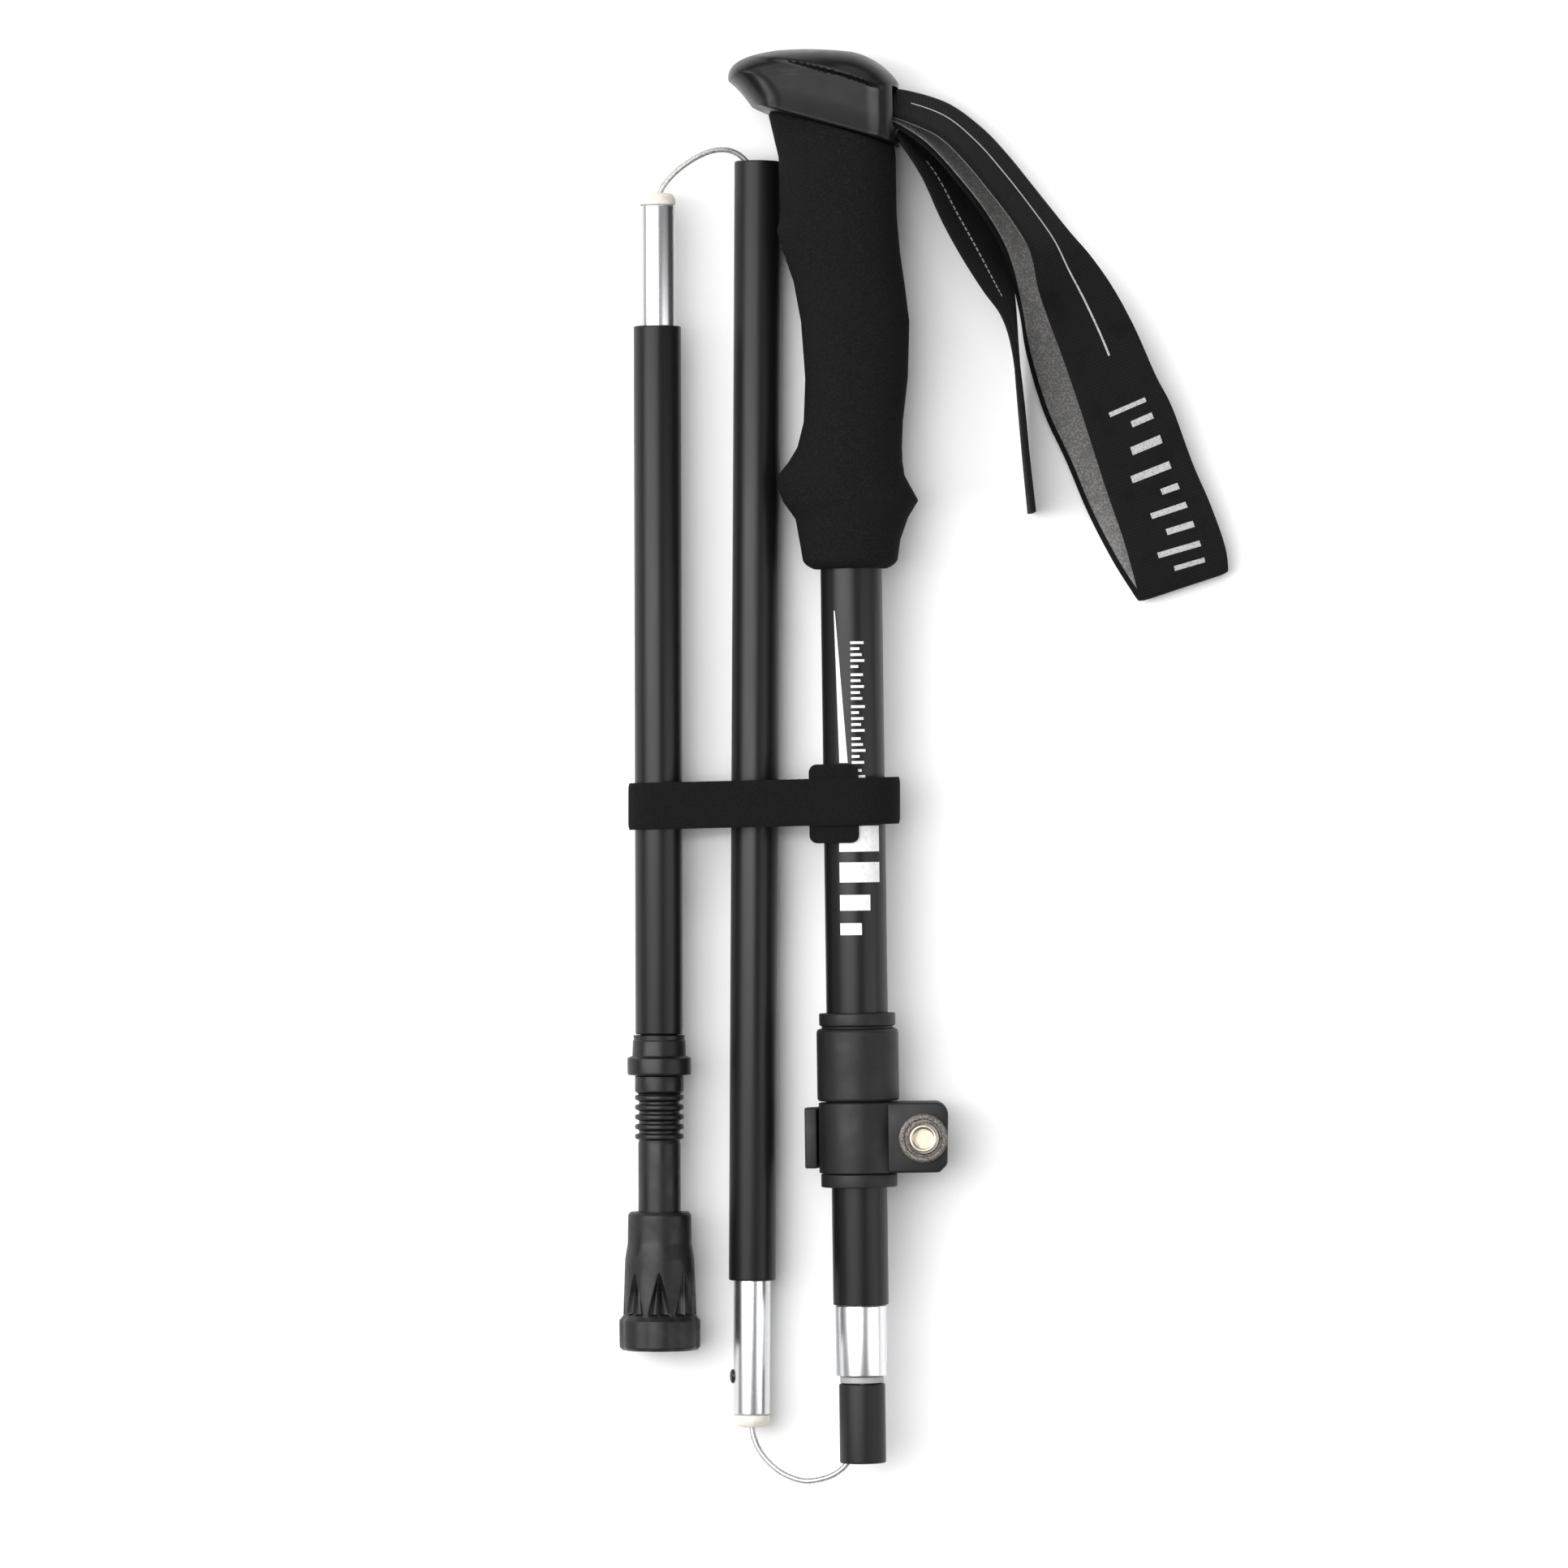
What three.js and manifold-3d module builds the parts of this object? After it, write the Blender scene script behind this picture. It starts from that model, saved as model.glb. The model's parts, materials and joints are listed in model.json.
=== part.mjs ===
// Folding trekking pole, folded flat and lying on a surface.
// Millimetres. +Y runs along the pole towards the handle, +X across it, +Z up from the surface.
// Three sections lie side by side: the handle section, the middle section and the tip section.
// Each section is a group whose own y axis is the section's centre line.

import * as THREE from 'three';
import { mergeVertices } from 'three/addons/utils/BufferGeometryUtils.js';
import Module from 'manifold-3d';

const wasm = await Module();
wasm.setup();

// ---------- driving dimensions ----------

const GAP = 0.3; // clearance between two pieces that touch
const SIDES = 22; // facets round a turned piece
const ORIGIN_SHIFT = [0, 0.51, -0.2]; // puts the origin under the middle of the whole object

// Where each section's centre line crosses y = 0, its height and its lean in the plane.
const HANDLE_LINE = { x: -22.76, z: 20, lean: 0.01338 };
const MIDDLE_LINE = { x: -54.45, z: 9.7, lean: -0.00514 };
const TIP_LINE = { x: -85.38, z: 13.2, lean: 0.0026 };

// Tubes: outer radius, bore radius and the two ends along the section.
const UPPER_TUBE = { radius: 9.85, bore: 9.2, low: -104, high: 188 };
const LOWER_TUBE = { radius: 8.9, bore: 8.2, low: -172.6, high: 105 };
const MIDDLE_TUBE = { radius: 7.55, bore: 6.25, low: -165.4, high: 194 };
const TIP_TUBE = { radius: 7.6, bore: 6.25, low: -86.3, high: 140.9 };

// Joints between sections: a ferrule pushes into the bore of the next section.
const JOINT_BORE = 6.25;
const FERRULE_RADIUS = 5.92;
const FERRULE_BORE = 5.2;
const FERRULE_GRIP = 25; // length of ferrule held inside its own tube
const MIDDLE_FERRULE_END = -208.3;
const TIP_FERRULE_END = 179.4;
const CAP_LENGTH = 4.2;
const CAP_BORE = 2.2;
const SOCKET_MOUTH = -223.3;
const BUTTON = { y: -196.3, radius: 2.3, face: 7.0, base: 3.6 };
const BUTTON_HOLE_Y = -192.8; // where the button comes to rest once the ferrule is home
const CORD_RADIUS = 0.9;

// Grip: the joint line between the hard head and the foam falls to the right.
const SEAM_Y = 202.4;
const SEAM_ANGLE = -0.279;
const HEAD_HALF_DEPTH = 18;
const FOAM_LOW = 62.9;

// Lever lock.
const LOCK = { top: -79.3, shoulder: -107.4, low: -134.9, ringRadius: 12.2, bodyRadius: 13.1 };
const CLAMP = { low: -130.4, high: -107.9, bore: 10.7, radius: 12.7 };
const EAR = { right: 28.6, front: 8.8, slit: 1.6 };
const SCREW = { x: 20.5, y: -119.3, shank: 2.1, head: 4.9 };
const LEVER_PIN_Z = -15.2;
const LEVER = { low: -129, high: -109.5, eye: 4.6, inner: 14.1, outer: 17.4 };

// Tip.
const RIB = { count: 5, pitch: 3.12, first: -105.6, crest: 7.8, root: 6.5 };
const RUBBER = { top: -143.3, sole: -187.5, neck: 10.1, waist: 11.5, base: 13.0 };
const FLUTES = 8;

const STRAP_THICKNESS = 2.2;

// ---------- helpers ----------

// One closed body with shared corners merged and its faces pointing out.
function closedBody(source) {
  const bare = new THREE.BufferGeometry();
  bare.setAttribute('position', source.getAttribute('position'));
  if (source.index) bare.setIndex(source.index);
  const merged = mergeVertices(bare, 1e-4);
  const position = merged.getAttribute('position');
  const corners = merged.index.array;
  const kept = [];
  const [a, b, c] = [new THREE.Vector3(), new THREE.Vector3(), new THREE.Vector3()];
  let volume = 0;
  for (let i = 0; i < corners.length; i += 3) {
    const [p, q, r] = [corners[i], corners[i + 1], corners[i + 2]];
    if (p === q || q === r || r === p) continue;
    kept.push(p, q, r);
    a.fromBufferAttribute(position, p);
    b.fromBufferAttribute(position, q);
    c.fromBufferAttribute(position, r);
    volume += a.dot(b.cross(c));
  }
  if (volume < 0) kept.reverse();
  merged.setIndex(kept);
  merged.computeVertexNormals();
  return merged;
}

function toSolid(geometry) {
  const body = closedBody(geometry);
  const vertProperties = new Float32Array(body.getAttribute('position').array);
  const triVerts = new Uint32Array(body.index.array);
  return new wasm.Manifold(new wasm.Mesh({ numProp: 3, vertProperties, triVerts }));
}

function fromSolid(solid) {
  const mesh = solid.getMesh();
  const geometry = new THREE.BufferGeometry();
  geometry.setAttribute('position', new THREE.BufferAttribute(mesh.vertProperties, 3));
  geometry.setIndex(new THREE.BufferAttribute(mesh.triVerts, 1));
  return geometry;
}

function cut(geometry, ...tools) {
  const solid = tools.reduce((body, tool) => body.subtract(toSolid(tool)), toSolid(geometry));
  return fromSolid(solid);
}

function join(geometry, ...others) {
  const solid = others.reduce((body, other) => body.add(toSolid(other)), toSolid(geometry));
  return fromSolid(solid);
}

// A piece turned about the section's y axis from [radius, y] points.
function turned(profile, sides = SIDES) {
  return new THREE.LatheGeometry(profile.map(([radius, y]) => new THREE.Vector2(radius, y)), sides);
}

function ring(inner, outer, low, high) {
  return turned([[inner, low], [outer, low], [outer, high], [inner, high], [inner, low]]);
}

function tube({ bore, radius, low, high }) {
  return ring(bore, radius, low, high);
}

function rod(radius, low, high, sides = SIDES) {
  return turned([[0, low], [radius, low], [radius, high], [0, high]], sides);
}

function box(x, y, z) {
  const block = new THREE.BoxGeometry(x[1] - x[0], y[1] - y[0], z[1] - z[0]);
  return block.translate((x[0] + x[1]) / 2, (y[0] + y[1]) / 2, (z[0] + z[1]) / 2);
}

// A closed skin over rings of points that all have the same number of corners.
function skin(rings) {
  const count = rings[0].length;
  const positions = [];
  const index = [];
  const centre = (points) => points.reduce((sum, p) => sum.add(p), new THREE.Vector3()).divideScalar(count);
  rings.flat().forEach((p) => positions.push(p.x, p.y, p.z));
  [centre(rings[0]), centre(rings.at(-1))].forEach((p) => positions.push(p.x, p.y, p.z));
  const [firstHub, lastHub] = [rings.length * count, rings.length * count + 1];
  const lastRing = (rings.length - 1) * count;
  for (let i = 0; i < count; i += 1) {
    const next = (i + 1) % count;
    for (let j = 0; j < lastRing; j += count) {
      index.push(j + i, j + next, j + count + i);
      index.push(j + next, j + count + next, j + count + i);
    }
    index.push(firstHub, next, i);
    index.push(lastHub, lastRing + i, lastRing + next);
  }
  const geometry = new THREE.BufferGeometry();
  geometry.setAttribute('position', new THREE.Float32BufferAttribute(positions, 3));
  geometry.setIndex(index);
  return geometry;
}

// An oval body along y from stations of [y, reach to -x, reach to +x, half depth].
function ovalLoft(stations, sides) {
  const rings = stations.map(([y, left, right, depth]) => Array.from({ length: sides }, (_, i) => {
    const angle = (i / sides) * 2 * Math.PI;
    const reach = Math.cos(angle) < 0 ? left : right;
    return new THREE.Vector3(Math.cos(angle) * reach, y, Math.sin(angle) * depth);
  }));
  return skin(rings);
}

// Flat webbing whose two long edges are smooth curves through matching points.
function webbing(stations, steps) {
  const edges = [0, 1].map((side) => {
    const points = stations.map((station) => new THREE.Vector3(...station[side]));
    return new THREE.CatmullRomCurve3(points);
  });
  const rings = Array.from({ length: steps + 1 }, (_, i) => {
    const t = i / steps;
    const [a, b] = edges.map((edge) => edge.getPoint(t));
    const along = edges[0].getTangent(t).add(edges[1].getTangent(t));
    const half = b.clone().sub(a).cross(along).setLength(STRAP_THICKNESS / 2);
    return [a.clone().add(half), b.clone().add(half), b.clone().sub(half), a.clone().sub(half)];
  });
  return skin(rings);
}

// A round cord swept along hand-placed points.
function cord(points, steps) {
  const path = new THREE.CatmullRomCurve3(points.map((p) => new THREE.Vector3(...p)));
  const section = new THREE.Shape();
  section.absarc(0, 0, CORD_RADIUS, 0, 2 * Math.PI);
  return new THREE.ExtrudeGeometry(section, { steps, extrudePath: path, curveSegments: 4 });
}

// A flat outline in x and y, given depth along z and centred on z = 0.
function plate(shape, depth, options = {}) {
  const settings = { depth, bevelEnabled: false, curveSegments: 10, ...options };
  const geometry = new THREE.ExtrudeGeometry(shape, settings);
  return geometry.translate(0, 0, -depth / 2);
}

function material(color, roughness, metalness) {
  return () => new THREE.MeshStandardMaterial({ color, roughness, metalness });
}

const satinPlastic = material(0x2b2b2e, 0.45, 0);
const foam = material(0x141415, 0.95, 0);
const blackPaint = material(0x1b1b1d, 0.35, 0.2);
const silver = material(0xc9cacc, 0.28, 1);
const nickel = material(0xa9a294, 0.3, 1);
const nylon = material(0xdedcd2, 0.5, 0);
const rubber = material(0x1a1a1b, 0.6, 0);
const black = material(0x161617, 0.85, 0);
const coatedSteel = material(0x8d9094, 0.35, 0.6);
const carbide = material(0x6d6f73, 0.4, 1);

function section(line) {
  const group = new THREE.Group();
  group.position.set(line.x, 0, line.z);
  group.rotation.z = line.lean;
  return group;
}

function place(parent, name, geometry, finish) {
  const mesh = new THREE.Mesh(closedBody(geometry), finish());
  mesh.name = name;
  parent.add(mesh);
}

const pole = new THREE.Group();
pole.position.set(...ORIGIN_SHIFT);
const handle = section(HANDLE_LINE);
const middle = section(MIDDLE_LINE);
const tip = section(TIP_LINE);
pole.add(handle, middle, tip);

// ---------- grip ----------

// Everything below or above the slanted line where foam and head meet.
function seamBlock(above, clearance) {
  const height = 60;
  const block = new THREE.BoxGeometry(120, height, 60);
  block.translate(0, above ? height / 2 + clearance : -height / 2 - clearance, 0);
  block.rotateZ(SEAM_ANGLE);
  return block.translate(0, SEAM_Y, 0);
}

function foamGrip() {
  const body = ovalLoft([
    [215, 26, 14.5, 15.5],
    [195, 21.5, 16, 15.4],
    [176, 21, 16.1, 15.2],
    [171.4, 22.4, 16.4, 15.4],
    [164, 20.2, 17, 15],
    [155, 17.2, 18.2, 14.6],
    [142, 15, 19.7, 14.3],
    [124, 13.9, 19, 14],
    [110, 14.6, 17.2, 14],
    [102, 16.7, 16.8, 14.2],
    [97, 19.8, 16.9, 14.8],
    [92.6, 23.6, 17.5, 14.8],
    [87.5, 22.6, 20.2, 15.2],
    [84.5, 21.4, 21.8, 15.6],
    [79, 17.6, 18.4, 14.8],
    [72, 16.4, 15.9, 14.3],
    [65.5, 15.4, 14.9, 14],
    [FOAM_LOW, 13.2, 12.8, 12.2],
  ], 24);
  return cut(body, seamBlock(true, -GAP / 2), rod(UPPER_TUBE.radius + GAP, 40, 230));
}

function gripHead() {
  const outline = new THREE.Shape();
  outline.moveTo(-37.2, 221.5);
  outline.bezierCurveTo(-36.8, 225.6, -31, 228.2, -21, 229.2);
  outline.bezierCurveTo(-13, 229.8, -4, 229.3, 1.8, 228.5);
  outline.bezierCurveTo(8.5, 227.4, 14.5, 222.6, 17.2, 218.2);
  outline.lineTo(17.4, 190);
  outline.lineTo(-21, 196);
  outline.bezierCurveTo(-26.5, 206, -31, 214.5, -36.6, 218.9);
  const bevel = 4;
  const body = plate(outline, 2 * (HEAD_HALF_DEPTH - bevel), {
    bevelEnabled: true, bevelThickness: bevel, bevelSize: bevel, bevelOffset: -bevel, bevelSegments: 3,
    curveSegments: 6,
  });
  const trimmed = cut(body, seamBlock(false, -GAP / 2));
  const plug = rod(UPPER_TUBE.bore - GAP, 172, 208);
  const slot = box([9.5, 25], [203.6, 216.4], [-12.6, 12.6]);
  const pinHole = new THREE.CylinderGeometry(1.5 + GAP, 1.5 + GAP, 40, 12);
  pinHole.rotateX(Math.PI / 2).translate(12.6, 210, 0);
  return cut(join(trimmed, plug), slot, pinHole);
}

function strapPin() {
  const pin = new THREE.CylinderGeometry(1.5, 1.5, 27, 12);
  return pin.rotateX(Math.PI / 2).translate(12.6, 210, 0);
}

place(handle, 'grip_head', gripHead(), satinPlastic);
place(handle, 'foam_grip', foamGrip(), foam);
place(handle, 'strap_pin', strapPin(), nickel);

// ---------- wrist strap: [outer edge point, inner edge point] along the webbing ----------

const STRAP_LOOP = [
  [[-7.6, 214, 9], [-6.4, 210.5, 31]],
  [[6.9, 212.4, 10], [4.3, 200.5, 31]],
  [[18.1, 204.4, 11], [12.6, 192.5, 31]],
  [[26.7, 195.3, 12], [20.4, 183, 31]],
  [[36.3, 183.3, 13], [27.4, 173.7, 32]],
  [[45.9, 171.3, 14], [33.2, 163.8, 32]],
  [[52.9, 163.3, 15], [36, 152, 28]],
  [[60.2, 153.1, 15], [39.6, 142, 23]],
  [[67.2, 140.4, 15], [44.3, 130, 19]],
  [[74, 125.3, 14], [49.6, 115, 16]],
  [[79.4, 114.9, 13], [53.4, 103.5, 14]],
  [[85.9, 97.5, 11], [58.8, 87, 12]],
  [[91.9, 83.7, 10], [63.3, 74.5, 10]],
  [[96.6, 70.5, 8.5], [67, 62, 8.5]],
  [[97.6, 63, 5], [69, 53.6, 5]],
  [[95.6, 69, 1.7], [66, 57.6, 1.7]],
  [[88, 80, 1.6], [60.5, 66.5, 1.6]],
  [[79.5, 94, 1.6], [53, 81, 1.6]],
  [[72, 110, 1.6], [45.8, 98, 1.6]],
  [[64, 126, 1.7], [38.5, 114, 1.7]],
  [[57, 141, 1.9], [33, 132.5, 1.9]],
  [[49, 157, 2.4], [30.5, 147, 3]],
  [[38.5, 171, 3.5], [26, 163.5, 14]],
  [[26, 184.5, 4.8], [18.5, 176.5, 23]],
  [[13, 197.5, 6], [8.5, 189, 26]],
  [[1.5, 206, 7], [0.5, 197.5, 28]],
  [[-7.6, 209, 8], [-6.8, 204.8, 30]],
];

const STRAP_TAIL = [
  [[-7.2, 198.6, 28], [-6, 201, 8]],
  [[-0.6, 187.5, 26], [3.6, 191.5, 6]],
  [[5.3, 174.5, 25], [11.6, 180.6, 5]],
  [[11.6, 163, 24], [18.6, 168.7, 5]],
  [[18.9, 151.5, 25], [24, 156.2, 6]],
  [[24.8, 143.5, 27], [27.4, 145.6, 8]],
  [[28.4, 133, 28], [29.4, 134.2, 5]],
  [[30.8, 116, 27], [31, 116, 2.6]],
  [[32.6, 98, 26.5], [32.6, 98, 1.6]],
  [[34.6, 81, 26.5], [34.2, 81, 1.6]],
];

place(pole, 'wrist_strap', webbing(STRAP_LOOP, 84), black);
place(pole, 'strap_tail', webbing(STRAP_TAIL, 30), black);

// ---------- upper tube and lever lock ----------

function lockCollar() {
  const { top, shoulder, low, ringRadius, bodyRadius } = LOCK;
  const tubeSeat = UPPER_TUBE.radius + GAP;
  const neck = CLAMP.bore - GAP;
  return turned([
    [tubeSeat, top], [tubeSeat, UPPER_TUBE.low - GAP], [LOWER_TUBE.radius + GAP, UPPER_TUBE.low - GAP],
    [LOWER_TUBE.radius + GAP, low], [ringRadius, low], [ringRadius, CLAMP.low - GAP], [neck, CLAMP.low - GAP],
    [neck, shoulder], [bodyRadius, shoulder], [bodyRadius, -84.4], [ringRadius - 0.8, -84.1],
    [ringRadius - 0.8, -83.4], [ringRadius, -83.2], [ringRadius, top], [tubeSeat, top],
  ]);
}

function clampBody() {
  const band = ring(CLAMP.bore, CLAMP.radius, CLAMP.low, CLAMP.high);
  const ear = new THREE.Shape();
  ear.moveTo(9, CLAMP.low);
  ear.lineTo(EAR.right - 3, CLAMP.low);
  ear.lineTo(EAR.right - 0.4, CLAMP.low + 2.6);
  ear.lineTo(EAR.right, CLAMP.high - 4);
  ear.quadraticCurveTo(EAR.right, CLAMP.high, EAR.right - 4.5, CLAMP.high);
  ear.lineTo(9, CLAMP.high);
  ear.closePath();
  const ears = cut(plate(ear, 2 * EAR.front), rod(CLAMP.bore, CLAMP.low - 5, CLAMP.high + 5));
  const slit = box([8, 40], [CLAMP.low - 5, CLAMP.high + 5], [-EAR.slit, EAR.slit]);
  const screwHole = alongZ(SCREW.shank + GAP, -15, 15);
  return cut(join(band, ears), slit, screwHole);
}

// A round bar along z on the clamp screw's line.
function alongZ(radius, low, high, sides = 18) {
  const bar = new THREE.CylinderGeometry(radius, radius, high - low, sides);
  return bar.rotateX(Math.PI / 2).translate(SCREW.x, SCREW.y, (low + high) / 2);
}

function clampScrew() {
  const shank = alongZ(SCREW.shank, LEVER_PIN_Z + 2.4, 11);
  const head = alongZ(SCREW.head, EAR.front + 1.9, EAR.front + 4.9, 24);
  const socket = alongZ(2.4, EAR.front + 3, EAR.front + 8, 6);
  return cut(join(shank, head), socket);
}

function clampWasher() {
  return cut(alongZ(7.8, EAR.front + GAP, EAR.front + 1.6, 28), alongZ(SCREW.shank + GAP, 0, 20));
}

// The cam lever wraps round the far side of the clamp and ends beside the tube.
function lockLever() {
  const depth = LEVER.high - LEVER.low;
  const profile = new THREE.Shape();
  profile.absarc(0, 0, LEVER.outer, Math.PI * 1.03, Math.PI * 1.5);
  profile.lineTo(SCREW.x, LEVER_PIN_Z - LEVER.eye);
  profile.absarc(SCREW.x, LEVER_PIN_Z, LEVER.eye, -Math.PI / 2, Math.PI * 0.95);
  profile.lineTo(9, -LEVER.inner - 0.6);
  profile.lineTo(0, -LEVER.inner);
  profile.absarc(0, 0, LEVER.inner, Math.PI * 1.5, Math.PI * 1.03, true);
  profile.closePath();
  return plate(profile, depth).rotateX(Math.PI / 2).translate(0, (LEVER.low + LEVER.high) / 2, 0);
}

function leverPin(radius, low, high) {
  return rod(radius, low, high, 16).translate(SCREW.x, 0, LEVER_PIN_Z);
}

place(handle, 'upper_tube', tube(UPPER_TUBE), blackPaint);
place(handle, 'lock_collar', lockCollar(), satinPlastic);
place(handle, 'clamp_body', clampBody(), satinPlastic);
place(handle, 'clamp_screw', clampScrew(), nickel);
place(handle, 'clamp_washer', clampWasher(), blackPaint);
place(handle, 'lever_pin', leverPin(2, LEVER.low, LEVER.high), nickel);
const leverSlot = box([SCREW.x - 2.5, 40], [SCREW.y - 2.7, SCREW.y + 2.7], [-25, -5]);
place(handle, 'lock_lever', cut(lockLever(), leverPin(2.3, -200, 0), leverSlot), satinPlastic);

// ---------- hook-and-loop tie round the three sections ----------

// Three arcs joined by straight runs: round the tip section, under the middle one, over the upper tube.
function tieOutline(offset) {
  const arcs = [
    [TIP_LINE.x - 0.1, TIP_LINE.z, TIP_TUBE.radius + 0.5, 98, 262],
    [MIDDLE_LINE.x, MIDDLE_LINE.z, MIDDLE_TUBE.radius + 0.35, 262, 284],
    [HANDLE_LINE.x + 2.2, HANDLE_LINE.z, UPPER_TUBE.radius + 1.3, -76, 98],
  ];
  const outline = new THREE.Path();
  arcs.forEach(([x, z, radius, from, to]) => {
    outline.absarc(x, z, radius + offset, THREE.MathUtils.degToRad(from), THREE.MathUtils.degToRad(to));
  });
  return outline.getPoints(6);
}

function tieBand() {
  const shape = new THREE.Shape(tieOutline(1.5));
  shape.holes.push(new THREE.Path(tieOutline(0)));
  return plate(shape, 15).rotateX(Math.PI / 2).translate(0, -12.2, 0);
}

// The wide end of the tie lies between the upper tube and the band.
function tieHead() {
  const patch = new THREE.Shape();
  patch.moveTo(1.2, 10.22);
  patch.lineTo(1.2, 10.75);
  patch.lineTo(-14.6, 8.4);
  patch.lineTo(-14.6, 7.65);
  patch.closePath();
  return plate(patch, 25).rotateX(Math.PI / 2).translate(0, -12.3, 0);
}

place(handle, 'tie_head', tieHead(), black);
place(pole, 'tie_band', tieBand(), black);

// ---------- lower tube, reducer and joint socket ----------

function lowerTubeBush() {
  const top = LOWER_TUBE.high;
  return turned([
    [5.2, top - 10], [LOWER_TUBE.bore - GAP, top - 10], [LOWER_TUBE.bore - GAP, top + GAP],
    [LOWER_TUBE.radius, top + GAP], [LOWER_TUBE.radius, top + 4], [5.2, top + 4], [5.2, top - 10],
  ]);
}

function reducerBush() {
  const shoulder = LOWER_TUBE.low - GAP;
  const body = turned([
    [3, -158], [LOWER_TUBE.bore - GAP, -158], [LOWER_TUBE.bore - GAP, shoulder], [8.3, shoulder], [8.3, -195.3],
    [JOINT_BORE, -195.3], [JOINT_BORE, -175.6], [3, -175.6], [3, -158],
  ]);
  const hole = new THREE.CylinderGeometry(BUTTON.radius + 0.5, BUTTON.radius + 0.5, 14, 14);
  return cut(body, hole.rotateZ(Math.PI / 2).translate(10, BUTTON_HOLE_Y, 0));
}

place(handle, 'lower_tube', tube(LOWER_TUBE), blackPaint);
place(handle, 'lower_tube_bush', lowerTubeBush(), nylon);
place(handle, 'reducer_bush', reducerBush(), silver);
place(handle, 'joint_ring', ring(JOINT_BORE, 7, -197.6, -195.6), satinPlastic);
place(handle, 'joint_socket', ring(JOINT_BORE, 7.4, SOCKET_MOUTH, -197.9), blackPaint);
place(handle, 'tension_spring', ring(3.2, 4.4, -140, -70), silver);
place(handle, 'spring_anchor', ring(3.2, LOWER_TUBE.bore - GAP, -69.7, -63), nylon);

// ---------- middle section ----------

function ferrule(low, high) {
  return ring(FERRULE_BORE, FERRULE_RADIUS, low, high);
}

// Round-nosed plug in the ferrule's end with a hole for the cord. It points along sense.
function ferruleCap(end, sense) {
  const face = end + sense * GAP;
  const nose = end + sense * CAP_LENGTH;
  const spigot = end - sense * 9;
  const seat = FERRULE_BORE - GAP;
  return turned([
    [CAP_BORE, spigot], [seat, spigot], [seat, face], [FERRULE_RADIUS, face], [FERRULE_RADIUS, nose - sense * 2],
    [FERRULE_RADIUS - 0.8, nose - sense * 0.5], [FERRULE_RADIUS - 2, nose], [CAP_BORE, nose], [CAP_BORE, spigot],
  ]);
}

function middleFerrule() {
  const sleeve = ferrule(MIDDLE_FERRULE_END, MIDDLE_TUBE.low + FERRULE_GRIP);
  const hole = new THREE.CylinderGeometry(BUTTON.radius + GAP, BUTTON.radius + GAP, 6, 14);
  return cut(sleeve, hole.rotateZ(Math.PI / 2).translate(-6, BUTTON.y, 0));
}

// Domed button with a wider base inside the ferrule.
function snapButton() {
  const { radius, face, base } = BUTTON;
  const shape = turned([[0, base], [3, base], [3, base + 0.7], [radius, base + 0.7], [radius, face - 0.6],
    [radius - 0.9, face - 0.1], [0, face]], 14);
  return shape.rotateZ(Math.PI / 2).translate(0, BUTTON.y, 0);
}

// A bent leaf spring beside the cord presses the button out.
function buttonSpring() {
  const leaf = new THREE.Shape([
    [-3.3, -199], [-3.3, -190], [0, -184.6], [3.2, -190], [3.6, -199], [4, -199], [3.6, -189.8], [0, -184],
    [-3.7, -189.8], [-3.7, -192.6], [-3.4, -193], [-3.4, -199],
  ].map(([x, y]) => new THREE.Vector2(x, y)));
  return plate(leaf, 1.8).translate(0, 0, 2.1);
}

place(middle, 'middle_tube', tube(MIDDLE_TUBE), blackPaint);
place(middle, 'middle_ferrule', middleFerrule(), silver);
place(middle, 'middle_ferrule_cap', ferruleCap(MIDDLE_FERRULE_END, -1), nylon);
place(middle, 'snap_button', snapButton(), blackPaint);
place(middle, 'button_spring', buttonSpring(), silver);

// ---------- tip section ----------

function basketNut() {
  const bore = TIP_TUBE.radius + GAP;
  return turned([
    [bore, -97], [7.1, -97.3], [7.1, -99.3], [10.2, -99], [10.2, -93.9], [8.6, -93.2], [8.3, -86.6], [bore, -86.6],
    [bore, -97],
  ]);
}

function tipHolder() {
  const profile = [[0, -160.5], [5.6, -160.5], [6.8, -158.5], [6.8, -121.2]];
  for (let i = RIB.count - 1; i >= 0; i -= 1) {
    const y = RIB.first - i * RIB.pitch;
    profile.push([RIB.root, y - 2.1], [RIB.crest, y - 1.6], [RIB.crest, y - 0.3], [RIB.root, y]);
  }
  profile.push([7.8, -104.6], [7.8, -99.6], [6.6, -99.6], [6.6, TIP_TUBE.low - GAP]);
  profile.push([TIP_TUBE.bore - GAP, TIP_TUBE.low - GAP], [TIP_TUBE.bore - GAP, -66], [0, -66]);
  return turned(profile);
}

// Soft push-on foot with pointed flutes between its ribs.
function rubberTip() {
  const { top, sole, neck, waist, base } = RUBBER;
  const body = turned([
    [0, sole], [base - 0.8, sole], [base, sole + 1], [base, sole + 10.5], [waist, sole + 12.5],
    [waist - 0.4, sole + 30], [neck, sole + 35], [neck, top], [0, top],
  ], 32);
  const cavity = turned([
    [0, -179.2], [4.4, -179.2], [4.4, -162.5], [7.1, -161], [7.1, top + 5], [0, top + 5],
  ]);
  const flutes = Array.from({ length: FLUTES }, (_, i) => {
    const flute = new THREE.ConeGeometry(2.6, 16, 8).rotateY(Math.PI / 8);
    flute.translate(0, sole + 13, base + 0.6);
    return flute.rotateY(((i + 0.5) / FLUTES) * 2 * Math.PI);
  });
  return cut(body, cavity, ...flutes);
}

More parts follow.
